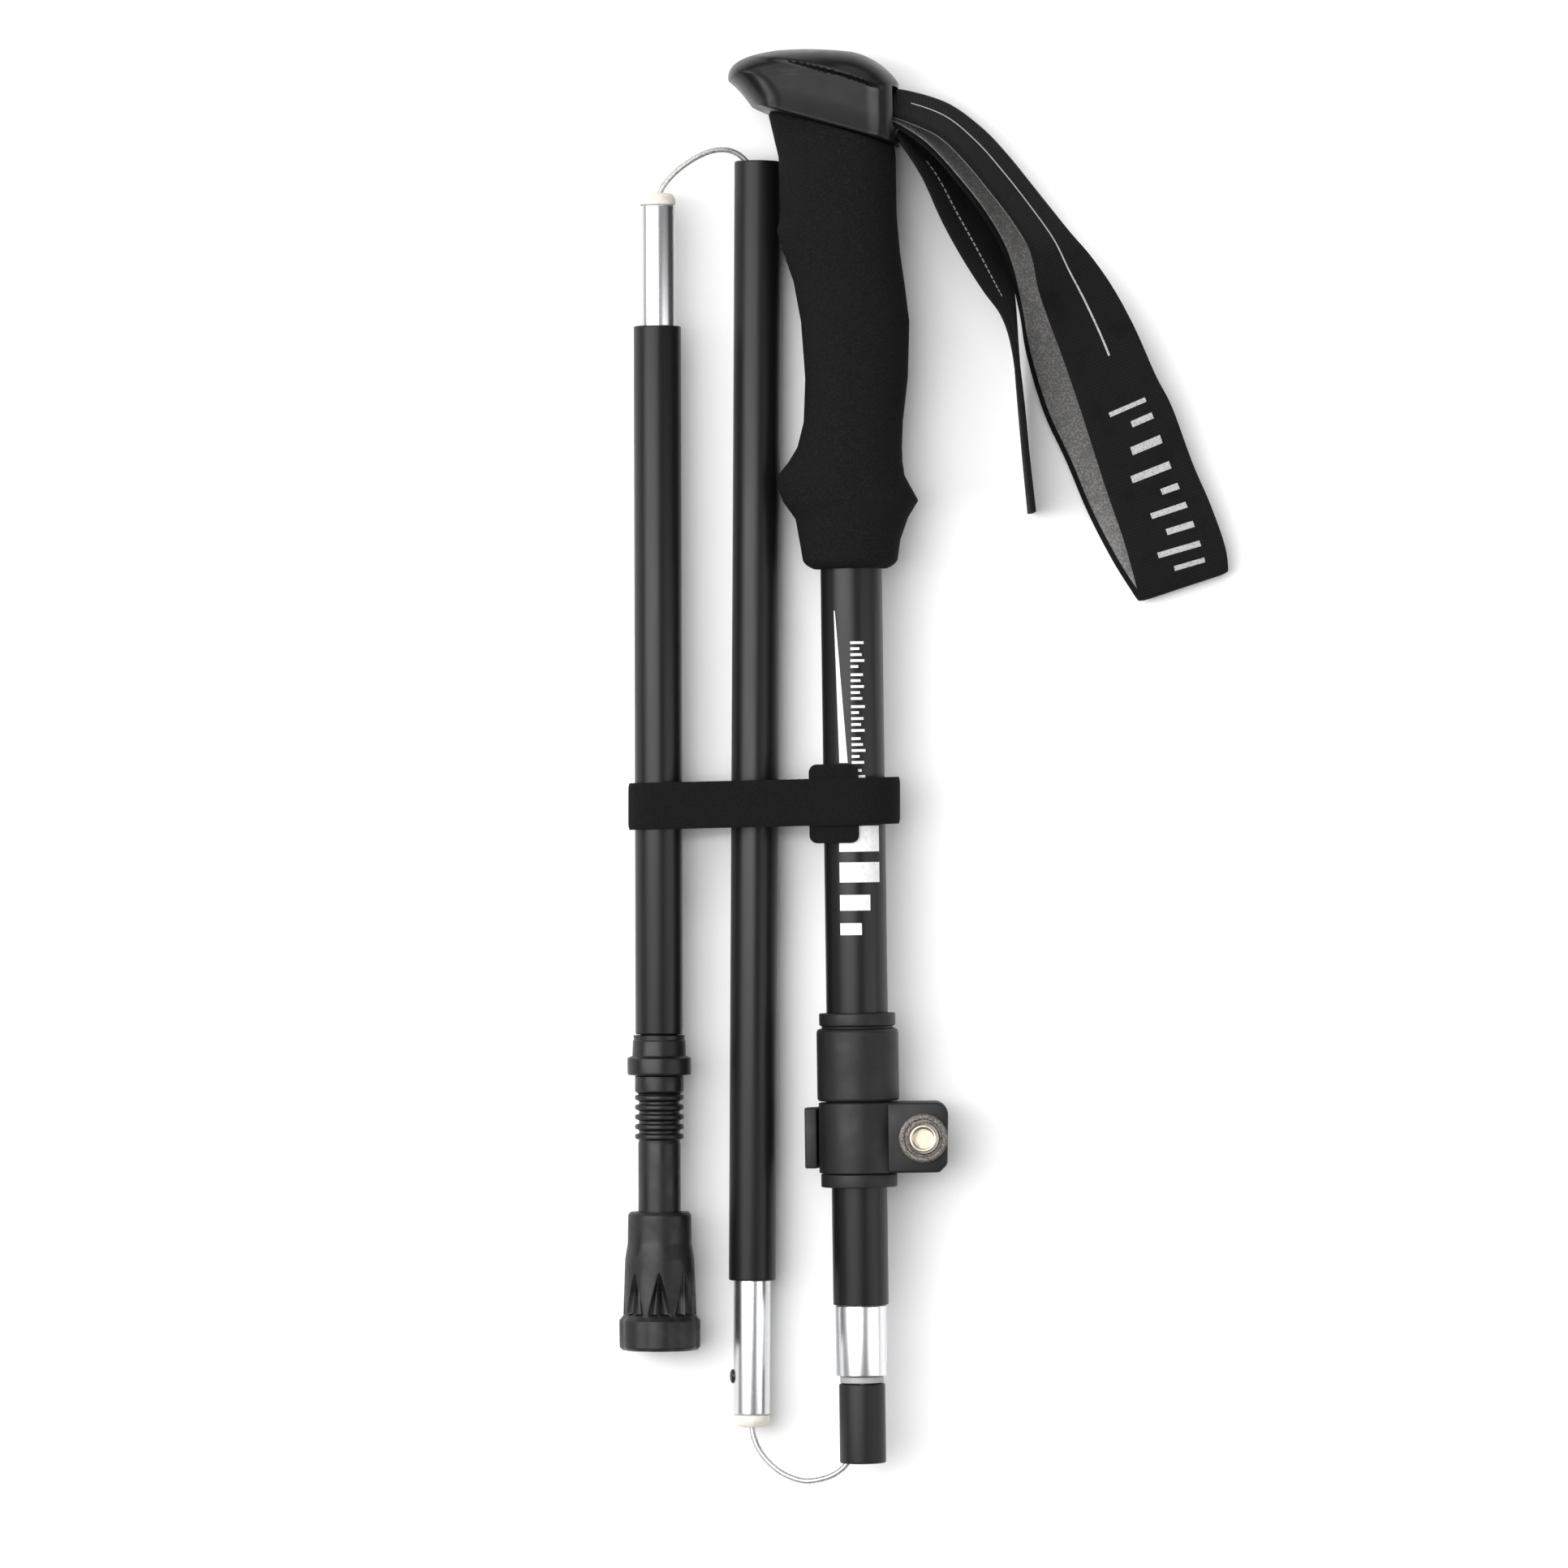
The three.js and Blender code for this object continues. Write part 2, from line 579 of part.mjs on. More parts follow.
place(tip, 'tip_tube', tube(TIP_TUBE), blackPaint);
place(tip, 'tip_ferrule', ferrule(TIP_TUBE.high - FERRULE_GRIP, TIP_FERRULE_END), silver);
place(tip, 'tip_ferrule_cap', ferruleCap(TIP_FERRULE_END, 1), nylon);
place(tip, 'cord_anchor', rod(5, -65.7, -60), nylon);
place(tip, 'basket_nut', basketNut(), satinPlastic);
place(tip, 'tip_holder', tipHolder(), satinPlastic);
place(tip, 'carbide_tip', rod(2.4, -177, -160.8, 12), carbide);
place(tip, 'tip_washer', rod(4, -178.9, -177.3, 12), silver);
place(tip, 'rubber_tip', rubberTip(), rubber);

// ---------- tension cord: a run inside each section and an open loop at each fold ----------

const LOWER_LOOP = [
  [-20.84, -143.5, 20], [-20.3, -184, 20], [-20.2, -206, 20], [-21.4, -216, 19.8], [-24.4, -223, 19.2],
  [-29, -227.2, 18], [-35, -229.2, 16.4], [-40.2, -229.2, 14.9], [-46.5, -226.6, 12.9], [-52, -221.4, 11.2],
  [-55, -215, 10], [-55.5, -208, 9.6], [-55.5, -201, 9.5],
];

const UPPER_LOOP = [
  [-53.7, 146, 9.5], [-53.5, 172, 9.5], [-53.9, 184, 9.5], [-55.8, 191.5, 9.7], [-58.6, 195.4, 10.1],
  [-63, 197.5, 10.7], [-68.4, 197.2, 11.3], [-74.5, 194.4, 12], [-80.5, 189.8, 12.6], [-84.5, 184.6, 13],
  [-85.6, 179, 13.2], [-85.85, 172, 13.2],
];

place(pole, 'lower_cord_loop', cord(LOWER_LOOP, 44), coatedSteel);
place(middle, 'middle_cord_run', rod(CORD_RADIUS, -200, 140, 8), coatedSteel);
place(pole, 'upper_cord_loop', cord(UPPER_LOOP, 40), coatedSteel);
place(tip, 'tip_cord_run', rod(CORD_RADIUS, -15, 171, 8), coatedSteel);

export default pole;
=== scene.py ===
import json
import math

import bmesh
import bpy
import numpy as np
from mathutils import Matrix, Vector


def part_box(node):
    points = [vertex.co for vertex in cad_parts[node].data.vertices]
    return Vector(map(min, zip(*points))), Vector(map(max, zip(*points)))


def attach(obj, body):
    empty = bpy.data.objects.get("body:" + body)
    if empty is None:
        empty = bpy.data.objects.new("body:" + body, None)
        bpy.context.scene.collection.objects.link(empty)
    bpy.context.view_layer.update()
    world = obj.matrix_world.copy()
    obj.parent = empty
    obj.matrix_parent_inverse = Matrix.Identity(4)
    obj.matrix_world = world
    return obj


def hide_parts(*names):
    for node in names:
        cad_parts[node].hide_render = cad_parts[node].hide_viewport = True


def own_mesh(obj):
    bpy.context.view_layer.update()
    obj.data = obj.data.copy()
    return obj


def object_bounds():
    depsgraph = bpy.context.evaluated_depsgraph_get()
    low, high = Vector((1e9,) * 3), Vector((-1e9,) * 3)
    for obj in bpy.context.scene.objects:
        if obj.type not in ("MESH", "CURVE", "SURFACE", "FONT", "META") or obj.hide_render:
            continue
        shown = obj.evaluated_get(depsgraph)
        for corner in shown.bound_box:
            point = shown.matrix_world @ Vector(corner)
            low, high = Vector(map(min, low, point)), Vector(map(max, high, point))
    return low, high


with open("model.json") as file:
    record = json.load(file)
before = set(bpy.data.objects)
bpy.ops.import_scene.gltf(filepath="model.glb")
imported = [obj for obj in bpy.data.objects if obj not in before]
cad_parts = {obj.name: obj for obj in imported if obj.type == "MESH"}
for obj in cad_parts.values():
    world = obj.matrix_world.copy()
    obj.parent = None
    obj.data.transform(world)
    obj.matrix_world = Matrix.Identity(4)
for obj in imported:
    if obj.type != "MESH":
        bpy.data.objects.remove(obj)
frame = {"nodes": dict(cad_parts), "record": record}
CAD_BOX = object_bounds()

MM = 0.001
SIDES = 96
SHARP_ANGLE = math.radians(38)
RECORD = frame["record"]
JOINTS = {joint["name"]: joint for joint in RECORD["behaviour"]["joints"]}


# ---------- camera, straight above the pole ----------

def make_camera():
    low, high = CAD_BOX
    middle = (low + high) / 2
    lens, sensor = 210, 36
    framed_width = 0.5023
    aim = Vector((middle.x - 0.0451, middle.y - 0.0055, 0.018))
    camera = bpy.data.objects.new("camera", bpy.data.cameras.new("camera"))
    camera.data.lens = lens
    camera.data.sensor_width = sensor
    camera.location = aim + Vector((0, 0, framed_width * lens / sensor))
    camera.data.clip_end = 90
    bpy.context.scene.collection.objects.link(camera)
    bpy.context.scene.camera = camera


make_camera()


# ---------- section frames: local y runs along a section towards the handle ----------

def section_frame(node, middle, up):
    low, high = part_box(node)
    y_axis = Vector(up).normalized()
    z_axis = Vector((0, 0, 1))
    x_axis = y_axis.cross(z_axis)
    origin = (low + high) / 2 - y_axis * middle * MM
    matrix = Matrix((x_axis, y_axis, z_axis)).transposed().to_4x4()
    matrix.translation = origin
    return matrix


HANDLE = section_frame("upper_tube", 42, -Vector(JOINTS["shaft_telescope"]["axis"]))
MIDDLE = section_frame("middle_tube", 14.3, -Vector(JOINTS["middle_insert"]["axis"]))
TIP = section_frame("tip_tube", 27.3, JOINTS["tip_insert"]["axis"])


# ---------- mesh helpers ----------

def mesh_object(name, points, faces, uvs=None):
    mesh = bpy.data.meshes.new(name)
    mesh.from_pydata([tuple(p) for p in points], [], faces)
    if uvs is not None:
        layer = mesh.uv_layers.new(name="UVMap")
        for loop in mesh.loops:
            layer.data[loop.index].uv = uvs[loop.vertex_index]
    made = bpy.data.objects.new(name, mesh)
    bpy.context.scene.collection.objects.link(made)
    return tidy(made)


def tidy(made):
    """Merges doubles, points the faces outward and shades smoothly between sharp edges."""
    work = bmesh.new()
    work.from_mesh(made.data)
    bmesh.ops.remove_doubles(work, verts=work.verts, dist=1e-7)
    bmesh.ops.recalc_face_normals(work, faces=work.faces)
    work.to_mesh(made.data)
    work.free()
    made.data.shade_smooth()
    made.data.set_sharp_from_angle(angle=SHARP_ANGLE)
    return made


def skin(name, rings, ends="hub", uvs=None):
    """A closed skin over rings with the same number of points. ends is hub or loop."""
    count = len(rings[0])
    points = [p for ring in rings for p in ring]
    faces = []
    stretches = len(rings) if ends == "loop" else len(rings) - 1
    for j in range(stretches):
        here, there = j * count, (j + 1) % len(rings) * count
        for i in range(count):
            k = (i + 1) % count
            faces.append((here + i, here + k, there + k, there + i))
    if ends == "hub":
        for ring, start in ((rings[0], 0), (rings[-1], (len(rings) - 1) * count)):
            points.append(sum((Vector(p) for p in ring), Vector()) / count)
            hub = len(points) - 1
            faces.extend((hub, start + i, start + (i + 1) % count) for i in range(count))
    return mesh_object(name, points, faces, uvs)


def rounded(profile, radius=0.35, steps=3):
    """The same outline with its sharp corners softened."""
    closed = profile[0] == profile[-1]
    points = [Vector(p) for p in (profile[:-1] if closed else profile)]
    made = []
    for i, here in enumerate(points):
        if not closed and i in (0, len(points) - 1):
            made.append(here)
            continue
        before, after = points[i - 1], points[(i + 1) % len(points)]
        reach_in = min(radius, (before - here).length * 0.45)
        reach_out = min(radius, (after - here).length * 0.45)
        start = here + (before - here).normalized() * reach_in
        end = here + (after - here).normalized() * reach_out
        for k in range(steps + 1):
            t = k / steps
            made.append((1 - t) ** 2 * start + 2 * t * (1 - t) * here + t * t * end)
    if closed:
        made.append(made[0])
    return made


def turned(name, place, profile, soften=0.35, sides=SIDES):
    """A piece turned about the section's own y axis from (radius, y) in millimetres."""
    outline = rounded(profile, soften) if soften else [Vector(p) for p in profile]
    if outline[0] == outline[-1]:
        outline = outline[:-1]
        ends = "loop"
    else:
        ends = "hub"
    rings = []
    for radius, y in outline:
        angles = (2 * math.pi * i / sides for i in range(sides))
        spots = (Vector((radius * math.cos(a), y, radius * math.sin(a))) for a in angles)
        rings.append([place @ (spot * MM) for spot in spots])
    return skin(name, rings, ends)


def ring_profile(bore, radius, low, high):
    return [(bore, low), (radius, low), (radius, high), (bore, high), (bore, low)]


def extruded(name, place, outline, low, high, bevel=0.4, axis="y"):
    """A flat outline of (x, z) given length along y, or of (x, y) given depth along z."""
    def at(point, depth):
        a, b = point
        local = (a, depth, b) if axis == "y" else (a, b, depth)
        return place @ (Vector(local) * MM)
    count = len(outline)
    points = [at(p, low) for p in outline] + [at(p, high) for p in outline]
    faces = [tuple(range(count)), tuple(range(2 * count - 1, count - 1, -1))]
    faces += [(i, (i + 1) % count, (i + 1) % count + count, i + count) for i in range(count)]
    made = mesh_object(name, points, faces)
    if bevel:
        edge = made.modifiers.new("edge", "BEVEL")
        edge.width = bevel * MM
        edge.segments = 3
        edge.limit_method = "ANGLE"
        edge.angle_limit = math.radians(40)
        apply_modifiers(made)
    return made


def apply_modifiers(made):
    graph = bpy.context.evaluated_depsgraph_get()
    mesh = bpy.data.meshes.new_from_object(made.evaluated_get(graph))
    made.modifiers.clear()
    made.data = mesh
    return tidy(made)


def carve(target, tool, operation="DIFFERENCE"):
    """Cuts or joins with another mesh, which is then thrown away."""
    boolean = target.modifiers.new("carve", "BOOLEAN")
    boolean.operation = operation
    boolean.solver = "EXACT"
    boolean.object = tool
    bpy.context.view_layer.update()
    apply_modifiers(target)
    bpy.data.objects.remove(tool, do_unlink=True)


def arc(x, z, radius, start, end, steps=16):
    """Points on an arc, angles in degrees."""
    angles = (math.radians(start + (end - start) * i / steps) for i in range(steps + 1))
    return [(x + radius * math.cos(a), z + radius * math.sin(a)) for a in angles]


def smooth_curve(points, count):
    """Catmull-Rom points through given ones, evenly spaced in parameter."""
    nodes = [Vector(p) for p in points]
    first, last = 2 * nodes[0] - nodes[1], 2 * nodes[-1] - nodes[-2]
    nodes = [first, *nodes, last]
    spans = len(nodes) - 3
    made = []
    for i in range(count + 1):
        place = min(i / count * spans, spans - 1e-9)
        k, t = int(place), place - int(place)
        a, b, c, d = nodes[k:k + 4]
        made.append(0.5 * (2 * b + (c - a) * t + (2 * a - 5 * b + 4 * c - d) * t ** 2
                           + (3 * b - a - 3 * c + d) * t ** 3))
    return made


def settle(made, body, slot, material, *nodes):
    made.data.materials.clear()
    made.data.materials.append(material)
    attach(made, body)
    if nodes:
        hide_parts(*nodes)


# ---------- materials ----------

class Finish:
    """A procedural material built up one layer of detail at a time, in object space metres."""

    def __init__(self, name, color, roughness, metallic=0.0, coat=0.0, sheen=0.0, specular=0.5):
        self.material = bpy.data.materials.new(name)
        self.material.use_nodes = True
        self.tree = self.material.node_tree
        self.shader = self.tree.nodes["Principled BSDF"]
        self.color = color
        self.set("Base Color", (*color, 1))
        self.set("Roughness", roughness)
        self.set("Metallic", metallic)
        self.set("Coat Weight", coat)
        self.set("Coat Roughness", 0.12)
        self.set("Specular IOR Level", specular)
        self.set("Sheen Weight", sheen)
        self.set("Sheen Roughness", 0.6)

    def set(self, socket, value):
        self.shader.inputs[socket].default_value = value

    def node(self, kind, **values):
        made = self.tree.nodes.new(kind)
        for key, value in values.items():
            setattr(made, key, value)
        return made

    def link(self, source, target):
        self.tree.links.new(source, target)

    def vector(self, scale=(1, 1, 1), space="Object"):
        source = self.node("ShaderNodeTexCoord")
        mapping = self.node("ShaderNodeMapping")
        mapping.inputs["Scale"].default_value = scale
        self.link(source.outputs[space], mapping.inputs["Vector"])
        return mapping.outputs["Vector"]

    def noise(self, scale, detail=3, stretch=(1, 1, 1)):
        made = self.node("ShaderNodeTexNoise")
        made.inputs["Scale"].default_value = scale
        made.inputs["Detail"].default_value = detail
        self.link(self.vector(stretch), made.inputs["Vector"])
        return made.outputs["Fac"]

    def cells(self, scale, feature="F1"):
        made = self.node("ShaderNodeTexVoronoi", feature=feature)
        made.inputs["Scale"].default_value = scale
        self.link(self.vector(), made.inputs["Vector"])
        return made.outputs["Distance"]

    def wave(self, scale, direction, space, distortion=0.0):
        made = self.node("ShaderNodeTexWave", bands_direction=direction)
        made.inputs["Scale"].default_value = scale
        made.inputs["Distortion"].default_value = distortion
        self.link(self.vector(space=space), made.inputs["Vector"])
        return made.outputs["Fac"]

    def product(self, a, b):
        made = self.node("ShaderNodeMath", operation="MULTIPLY")
        self.link(a, made.inputs[0])
        self.link(b, made.inputs[1])
        return made.outputs[0]

    def spread(self, source, low, high, start=0.3, end=0.7):
        made = self.node("ShaderNodeMapRange")
        for key, value in (("From Min", start), ("From Max", end), ("To Min", low), ("To Max", high)):
            made.inputs[key].default_value = value
        self.link(source, made.inputs["Value"])
        return made.outputs["Result"]

    def tint(self, source, other, start=0.35, end=0.65):
        """Mixes the base colour towards another one where the source is high."""
        mix = self.node("ShaderNodeMix", data_type="RGBA")
        mix.inputs["A"].default_value = (*self.color, 1)
        mix.inputs["B"].default_value = (*other, 1)
        self.link(self.spread(source, 0, 1, start, end), mix.inputs["Factor"])
        base = self.shader.inputs["Base Color"]
        if base.is_linked:
            self.link(base.links[0].from_socket, mix.inputs["A"])
        self.link(mix.outputs["Result"], base)

    def rough(self, source, low, high, start=0.3, end=0.7):
        self.link(self.spread(source, low, high, start, end), self.shader.inputs["Roughness"])

    def bump(self, source, depth_mm, strength=1.0):
        made = self.node("ShaderNodeBump")
        made.inputs["Strength"].default_value = strength
        made.inputs["Distance"].default_value = depth_mm * MM
        self.link(source, made.inputs["Height"])
        normal = self.shader.inputs["Normal"]
        if normal.is_linked:
            self.link(normal.links[0].from_socket, made.inputs["Normal"])
        self.link(made.outputs["Normal"], normal)


def grey(value, warm=0.0):
    return (value * (1 + warm), value, value * (1 - warm))


def moulded(name, color, roughness, grain=1400, depth=0.02, specular=0.5):
    made = Finish(name, color, roughness, specular=specular)
    made.bump(made.noise(grain, 2), depth, 0.5)
    made.rough(made.noise(160, 4), roughness - 0.06, roughness + 0.08)
    made.tint(made.noise(60, 3), tuple(c * 1.35 for c in color), 0.45, 0.75)
    return made.material


def painted(name, color, roughness):
    made = Finish(name, color, roughness, specular=0.28)
    made.bump(made.noise(2600, 2, (1, 0.25, 1)), 0.004, 0.5)
    made.rough(made.noise(120, 4, (1, 0.12, 1)), roughness - 0.05, roughness + 0.07)
    made.tint(made.noise(40, 3, (1, 0.1, 1)), tuple(c * 1.5 for c in color), 0.5, 0.8)
    return made.material


def drawn_metal(name, color, roughness, grain=(1, 0.02, 1)):
    made = Finish(name, color, roughness, metallic=1.0)
    made.bump(made.noise(2400, 1, grain), 0.0006, 0.12)
    made.rough(made.noise(400, 2, grain), roughness - 0.02, roughness + 0.04)
    made.tint(made.noise(90, 3, grain), tuple(c * 0.9 for c in color), 0.5, 0.8)
    return made.material


def foam_finish():
    made = Finish("grip_foam", grey(0.0042), 0.95, specular=0.12)
    cells = made.cells(2300)
    made.bump(cells, 0.10, 0.8)
    made.bump(made.noise(650, 3), 0.07, 0.5)
    made.tint(cells, grey(0.0095), 0.35, 0.75)
    made.tint(made.noise(90, 4), grey(0.007), 0.5, 0.8)
    return made.material


def webbing_finish():
    """Ribbed webbing laid out along the strap by its own flat coordinates. Its raised ribs are also painted
    lighter, a painted highlight.
    """
    made = Finish("webbing", grey(0.0052), 0.88, specular=0.15)
    across = made.wave(450, "X", "UV")
    along = made.wave(306, "Y", "UV", 0.6)
    weave_and_rib_highlight = made.product(across, along)
    made.bump(weave_and_rib_highlight, 0.16, 0.9)
    made.bump(made.noise(1900, 3), 0.05, 0.5)
    # painted highlight: the raised ribs are painted lighter than the black webbing
    made.tint(weave_and_rib_highlight, grey(0.0052 * 2.6), 0.35, 0.95)
    made.tint(made.noise(110, 4), grey(0.0052 * 0.6), 0.55, 0.8)
    return made.material


def felt_finish():
    made = Finish("strap_felt", grey(0.13, 0.02), 0.95, specular=0.2)
    fibres = made.noise(1500, 6)
    made.bump(fibres, 0.18, 0.9)
    made.tint(fibres, grey(0.26, 0.02), 0.42, 0.66)
    made.tint(made.noise(260, 5), grey(0.13), 0.52, 0.75)
    return made.material


def tie_finish():
    made = Finish("tie_fabric", grey(0.0055), 0.95, specular=0.12)
    loops = made.cells(1300, "SMOOTH_F1")
    made.bump(loops, 0.2, 0.8)
    made.bump(made.noise(2400, 4), 0.06, 0.6)
    made.tint(loops, grey(0.0075), 0.3, 0.8)
    return made.material


def rubber_finish():
    made = Finish("tip_rubber", grey(0.005), 0.4, specular=0.34)
    made.bump(made.noise(900, 3), 0.02, 0.5)
    made.rough(made.noise(140, 4), 0.34, 0.56)
    made.tint(made.noise(220, 5), grey(0.012), 0.52, 0.78)
    return made.material


def nylon_finish():
    made = Finish("nylon_offwhite", (0.72, 0.7, 0.62), 0.42)
    made.set("Subsurface Weight", 0.2)
    made.set("Subsurface Scale", 0.002)
    made.bump(made.noise(900, 3), 0.015, 0.5)
    made.tint(made.noise(300, 4), (0.58, 0.55, 0.47), 0.5, 0.8)
    return made.material


def washer_finish():
    made = Finish("washer_dark", grey(0.035), 0.5, metallic=0.6)
    specks = made.cells(1700)
    made.bump(specks, 0.05, 0.8)
    made.tint(specks, grey(0.16, 0.1), 0.28, 0.5)
    made.rough(made.noise(700, 4), 0.35, 0.65)
    return made.material


def cord_finish():
    made = Finish("coated_cord", grey(0.52, 0.03), 0.3, metallic=0.7, coat=0.8)
    made.tint(made.noise(1800, 3), grey(0.24), 0.45, 0.7)
    made.rough(made.noise(900, 3), 0.22, 0.42)
    return made.material


def print_finish():
    made = Finish("printed_white", grey(0.74), 0.42)
    made.tint(made.noise(700, 4), grey(0.55), 0.5, 0.8)
    made.bump(made.noise(1500, 3), 0.01, 0.5)
    return made.material


def thread_finish():
    made = Finish("woven_grey", grey(0.42), 0.8, sheen=0.1)
    rows = made.noise(1700, 4)
    made.bump(rows, 0.08, 0.8)
    made.tint(rows, grey(0.22), 0.45, 0.7)
    return made.material


HEAD_PLASTIC = moulded("grip_plastic", grey(0.0042), 0.34, 700, 0.006, 0.25)
FOAM = foam_finish()
PAINT = painted("tube_paint", grey(0.006), 0.34)
SOCKET_PAINT = painted("socket_paint", grey(0.007), 0.42)
LOCK_PLASTIC = moulded("lock_plastic", grey(0.009), 0.48, specular=0.28)
RING_GREY = moulded("ring_grey", grey(0.3), 0.4)
TIP_PLASTIC = moulded("tip_plastic", grey(0.005), 0.4, specular=0.32)
BUTTON_PLASTIC = moulded("button_black", grey(0.01), 0.35)
ALUMINIUM = drawn_metal("ferrule_aluminium", (0.74, 0.745, 0.76), 0.27)
NICKEL = drawn_metal("screw_nickel", (0.5, 0.44, 0.36), 0.36, (1, 1, 1))
STEEL = drawn_metal("spring_steel", grey(0.6), 0.3, (1, 1, 1))
CARBIDE = drawn_metal("carbide", grey(0.36), 0.4, (1, 1, 1))
NYLON = nylon_finish()
WASHER = washer_finish()
WEBBING = webbing_finish()
FELT = felt_finish()
TIE = tie_finish()
RUBBER = rubber_finish()
CORD = cord_finish()
PRINT = print_finish()
THREAD = thread_finish()


# ---------- tension cord, made first --------------

def tube_along(name, path, radius, sides):
    """A round mesh tube along a path, with flat ends."""
    rings = []
    for i, here in enumerate(path):
        ahead = (path[min(i + 1, len(path) - 1)] - path[max(i - 1, 0)]).normalized()
        side = ahead.cross(Vector((0.1, 0.2, 1))).normalized()
        rise = side.cross(ahead)
        ring = []
        for k in range(sides):
            angle = 2 * math.pi * k / sides
            ring.append(here + (side * math.cos(angle) + rise * math.sin(angle)) * radius)
        rings.append(ring)
    return skin(name, rings)


ORIGIN_SHIFT = Vector((0, 0.51, -0.2))
CORD_RADIUS = 0.9
LOWER_LOOP = [
    (-20.84, -143.5, 20), (-20.3, -184, 20), (-20.2, -206, 20), (-21.4, -216, 19.8),
    (-24.4, -223, 19.2), (-29, -227.2, 18), (-35, -229.2, 16.4), (-40.2, -229.2, 14.9),
    (-46.5, -226.6, 12.9), (-52, -221.4, 11.2), (-55, -215, 10), (-55.5, -208, 9.6), (-55.5, -201, 9.5),
]
UPPER_LOOP = [
    (-53.7, 146, 9.5), (-53.5, 172, 9.5), (-53.9, 184, 9.5), (-55.8, 191.5, 9.7), (-58.6, 195.4, 10.1),
    (-63, 197.5, 10.7), (-68.4, 197.2, 11.3), (-74.5, 194.4, 12), (-80.5, 189.8, 12.6), (-84.5, 184.6, 13),
    (-85.6, 179, 13.2), (-85.85, 172, 13.2),
]


def cord_loop(name, points, body, node):
    """The open loop between two sections. It leaves the first one's mouth and enters the next."""
    path = [(p + ORIGIN_SHIFT) * MM for p in smooth_curve(points, 220)]
    made = tube_along(name, path, CORD_RADIUS * MM, 16)
    settle(made, body, "coated_cord", CORD, node)
    return made, path


lower_loop, lower_path = cord_loop("lower_cord_loop_visual", LOWER_LOOP, "lower_shaft", "lower_cord_loop")
upper_loop, upper_path = cord_loop("upper_cord_loop_visual", UPPER_LOOP, "middle_section", "upper_cord_loop")
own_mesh(lower_loop)
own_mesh(upper_loop)


# ---------- tubes ----------

UPPER_TUBE_RADIUS = 9.85
SOCKET_BORE = 6.25
FERRULE_BORE = 5.2
FERRULE_RADIUS = 5.92


def tube(name, place, bore, radius, low, high, body, slot, finish, soften=0.25):
    made = turned(name + "_visual", place, ring_profile(bore, radius, low, high), soften)
    settle(made, body, slot, finish, name)


tube("upper_tube", HANDLE, 9.2, UPPER_TUBE_RADIUS, -104, 188, "handle", "tube_paint", PAINT)
tube("lower_tube", HANDLE, 8.2, 8.9, -172.6, 105, "lower_shaft", "tube_paint", PAINT)
tube("middle_tube", MIDDLE, SOCKET_BORE, 7.55, -165.4, 194, "middle_section", "tube_paint", PAINT, 0.6)
tube("tip_tube", TIP, SOCKET_BORE, 7.6, -86.3, 140.9, "tip_section", "tube_paint", PAINT, 0.6)
tube("joint_ring", HANDLE, SOCKET_BORE, 7, -197.6, -195.6, "lower_shaft", "lock_plastic", RING_GREY)
tube("joint_socket", HANDLE, SOCKET_BORE, 7.4, -223.3, -197.9, "lower_shaft", "socket_paint",
     SOCKET_PAINT, 0.7)
tube("middle_ferrule", MIDDLE, FERRULE_BORE, FERRULE_RADIUS, -208.3, -140.4, "middle_section",
     "ferrule_aluminium", ALUMINIUM)
tube("tip_ferrule", TIP, FERRULE_BORE, FERRULE_RADIUS, 115.9, 179.4, "tip_section",
     "ferrule_aluminium", ALUMINIUM)


def button_hole(piece, place, y, side, radius):
    bpy.ops.mesh.primitive_cylinder_add(vertices=40, radius=radius * MM, depth=12 * MM)
    drill = bpy.context.object
    turn = Matrix.Rotation(math.pi / 2, 4, "Y")
    drill.matrix_world = place @ Matrix.Translation(Vector((side * 9.5, y, 0)) * MM) @ turn
    carve(piece, drill)


button_hole(bpy.data.objects["middle_ferrule_visual"], MIDDLE, -196.3, -1, 2.5)

reducer = turned("reducer_bush_visual", HANDLE, [
    (3, -158), (7.9, -158), (7.9, -172.9), (8.3, -172.9), (8.3, -195.3),
    (SOCKET_BORE, -195.3), (SOCKET_BORE, -175.6), (3, -175.6), (3, -158),
], 0.3)
button_hole(reducer, HANDLE, -192.8, 1, 2.8)
settle(reducer, "lower_shaft", "ferrule_aluminium", ALUMINIUM, "reducer_bush")


def ferrule_cap(name, place, end, sense, body):
    face, nose, spigot, seat = end + sense * 0.3, end + sense * 4.2, end - sense * 9, 4.9
    profile = [
        (2.2, spigot), (seat, spigot), (seat, face), (FERRULE_RADIUS, face),
        (FERRULE_RADIUS, nose - sense * 2),
        (5.12, nose - sense * 0.5), (3.92, nose), (2.2, nose), (2.2, spigot),
    ]
    made = turned(name + "_visual", place, profile, 0.5)
    settle(made, body, "nylon_offwhite", NYLON, name)


ferrule_cap("middle_ferrule_cap", MIDDLE, -208.3, -1, "middle_section")
ferrule_cap("tip_ferrule_cap", TIP, 179.4, 1, "tip_section")


# ---------- grip ----------

FOAM_STATIONS = [
    (215, 26, 14.5, 15.5), (195, 21.5, 16, 15.4), (176, 21, 16.1, 15.2), (171.4, 22.4, 16.4, 15.4),
    (164, 20.2, 17, 15), (155, 17.2, 18.2, 14.6), (142, 15, 19.7, 14.3), (124, 13.9, 19, 14),
    (110, 14.6, 17.2, 14), (102, 16.7, 16.8, 14.2), (97, 19.8, 16.9, 14.8), (92.6, 23.6, 17.5, 14.8),
    (87.5, 22.6, 20.2, 15.2), (84.5, 21.4, 21.8, 15.6), (79, 17.6, 18.4, 14.8), (72, 16.4, 15.9, 14.3),
    (65.5, 15.4, 14.9, 14), (62.9, 13.2, 12.8, 12.2),
]
FOAM_END = 62.9
SEAM_Y = 202.4
SEAM_ANGLE = -0.279
SEAM_GAP = 0.15


def seam_height(x):
    return SEAM_Y + math.tan(SEAM_ANGLE) * x


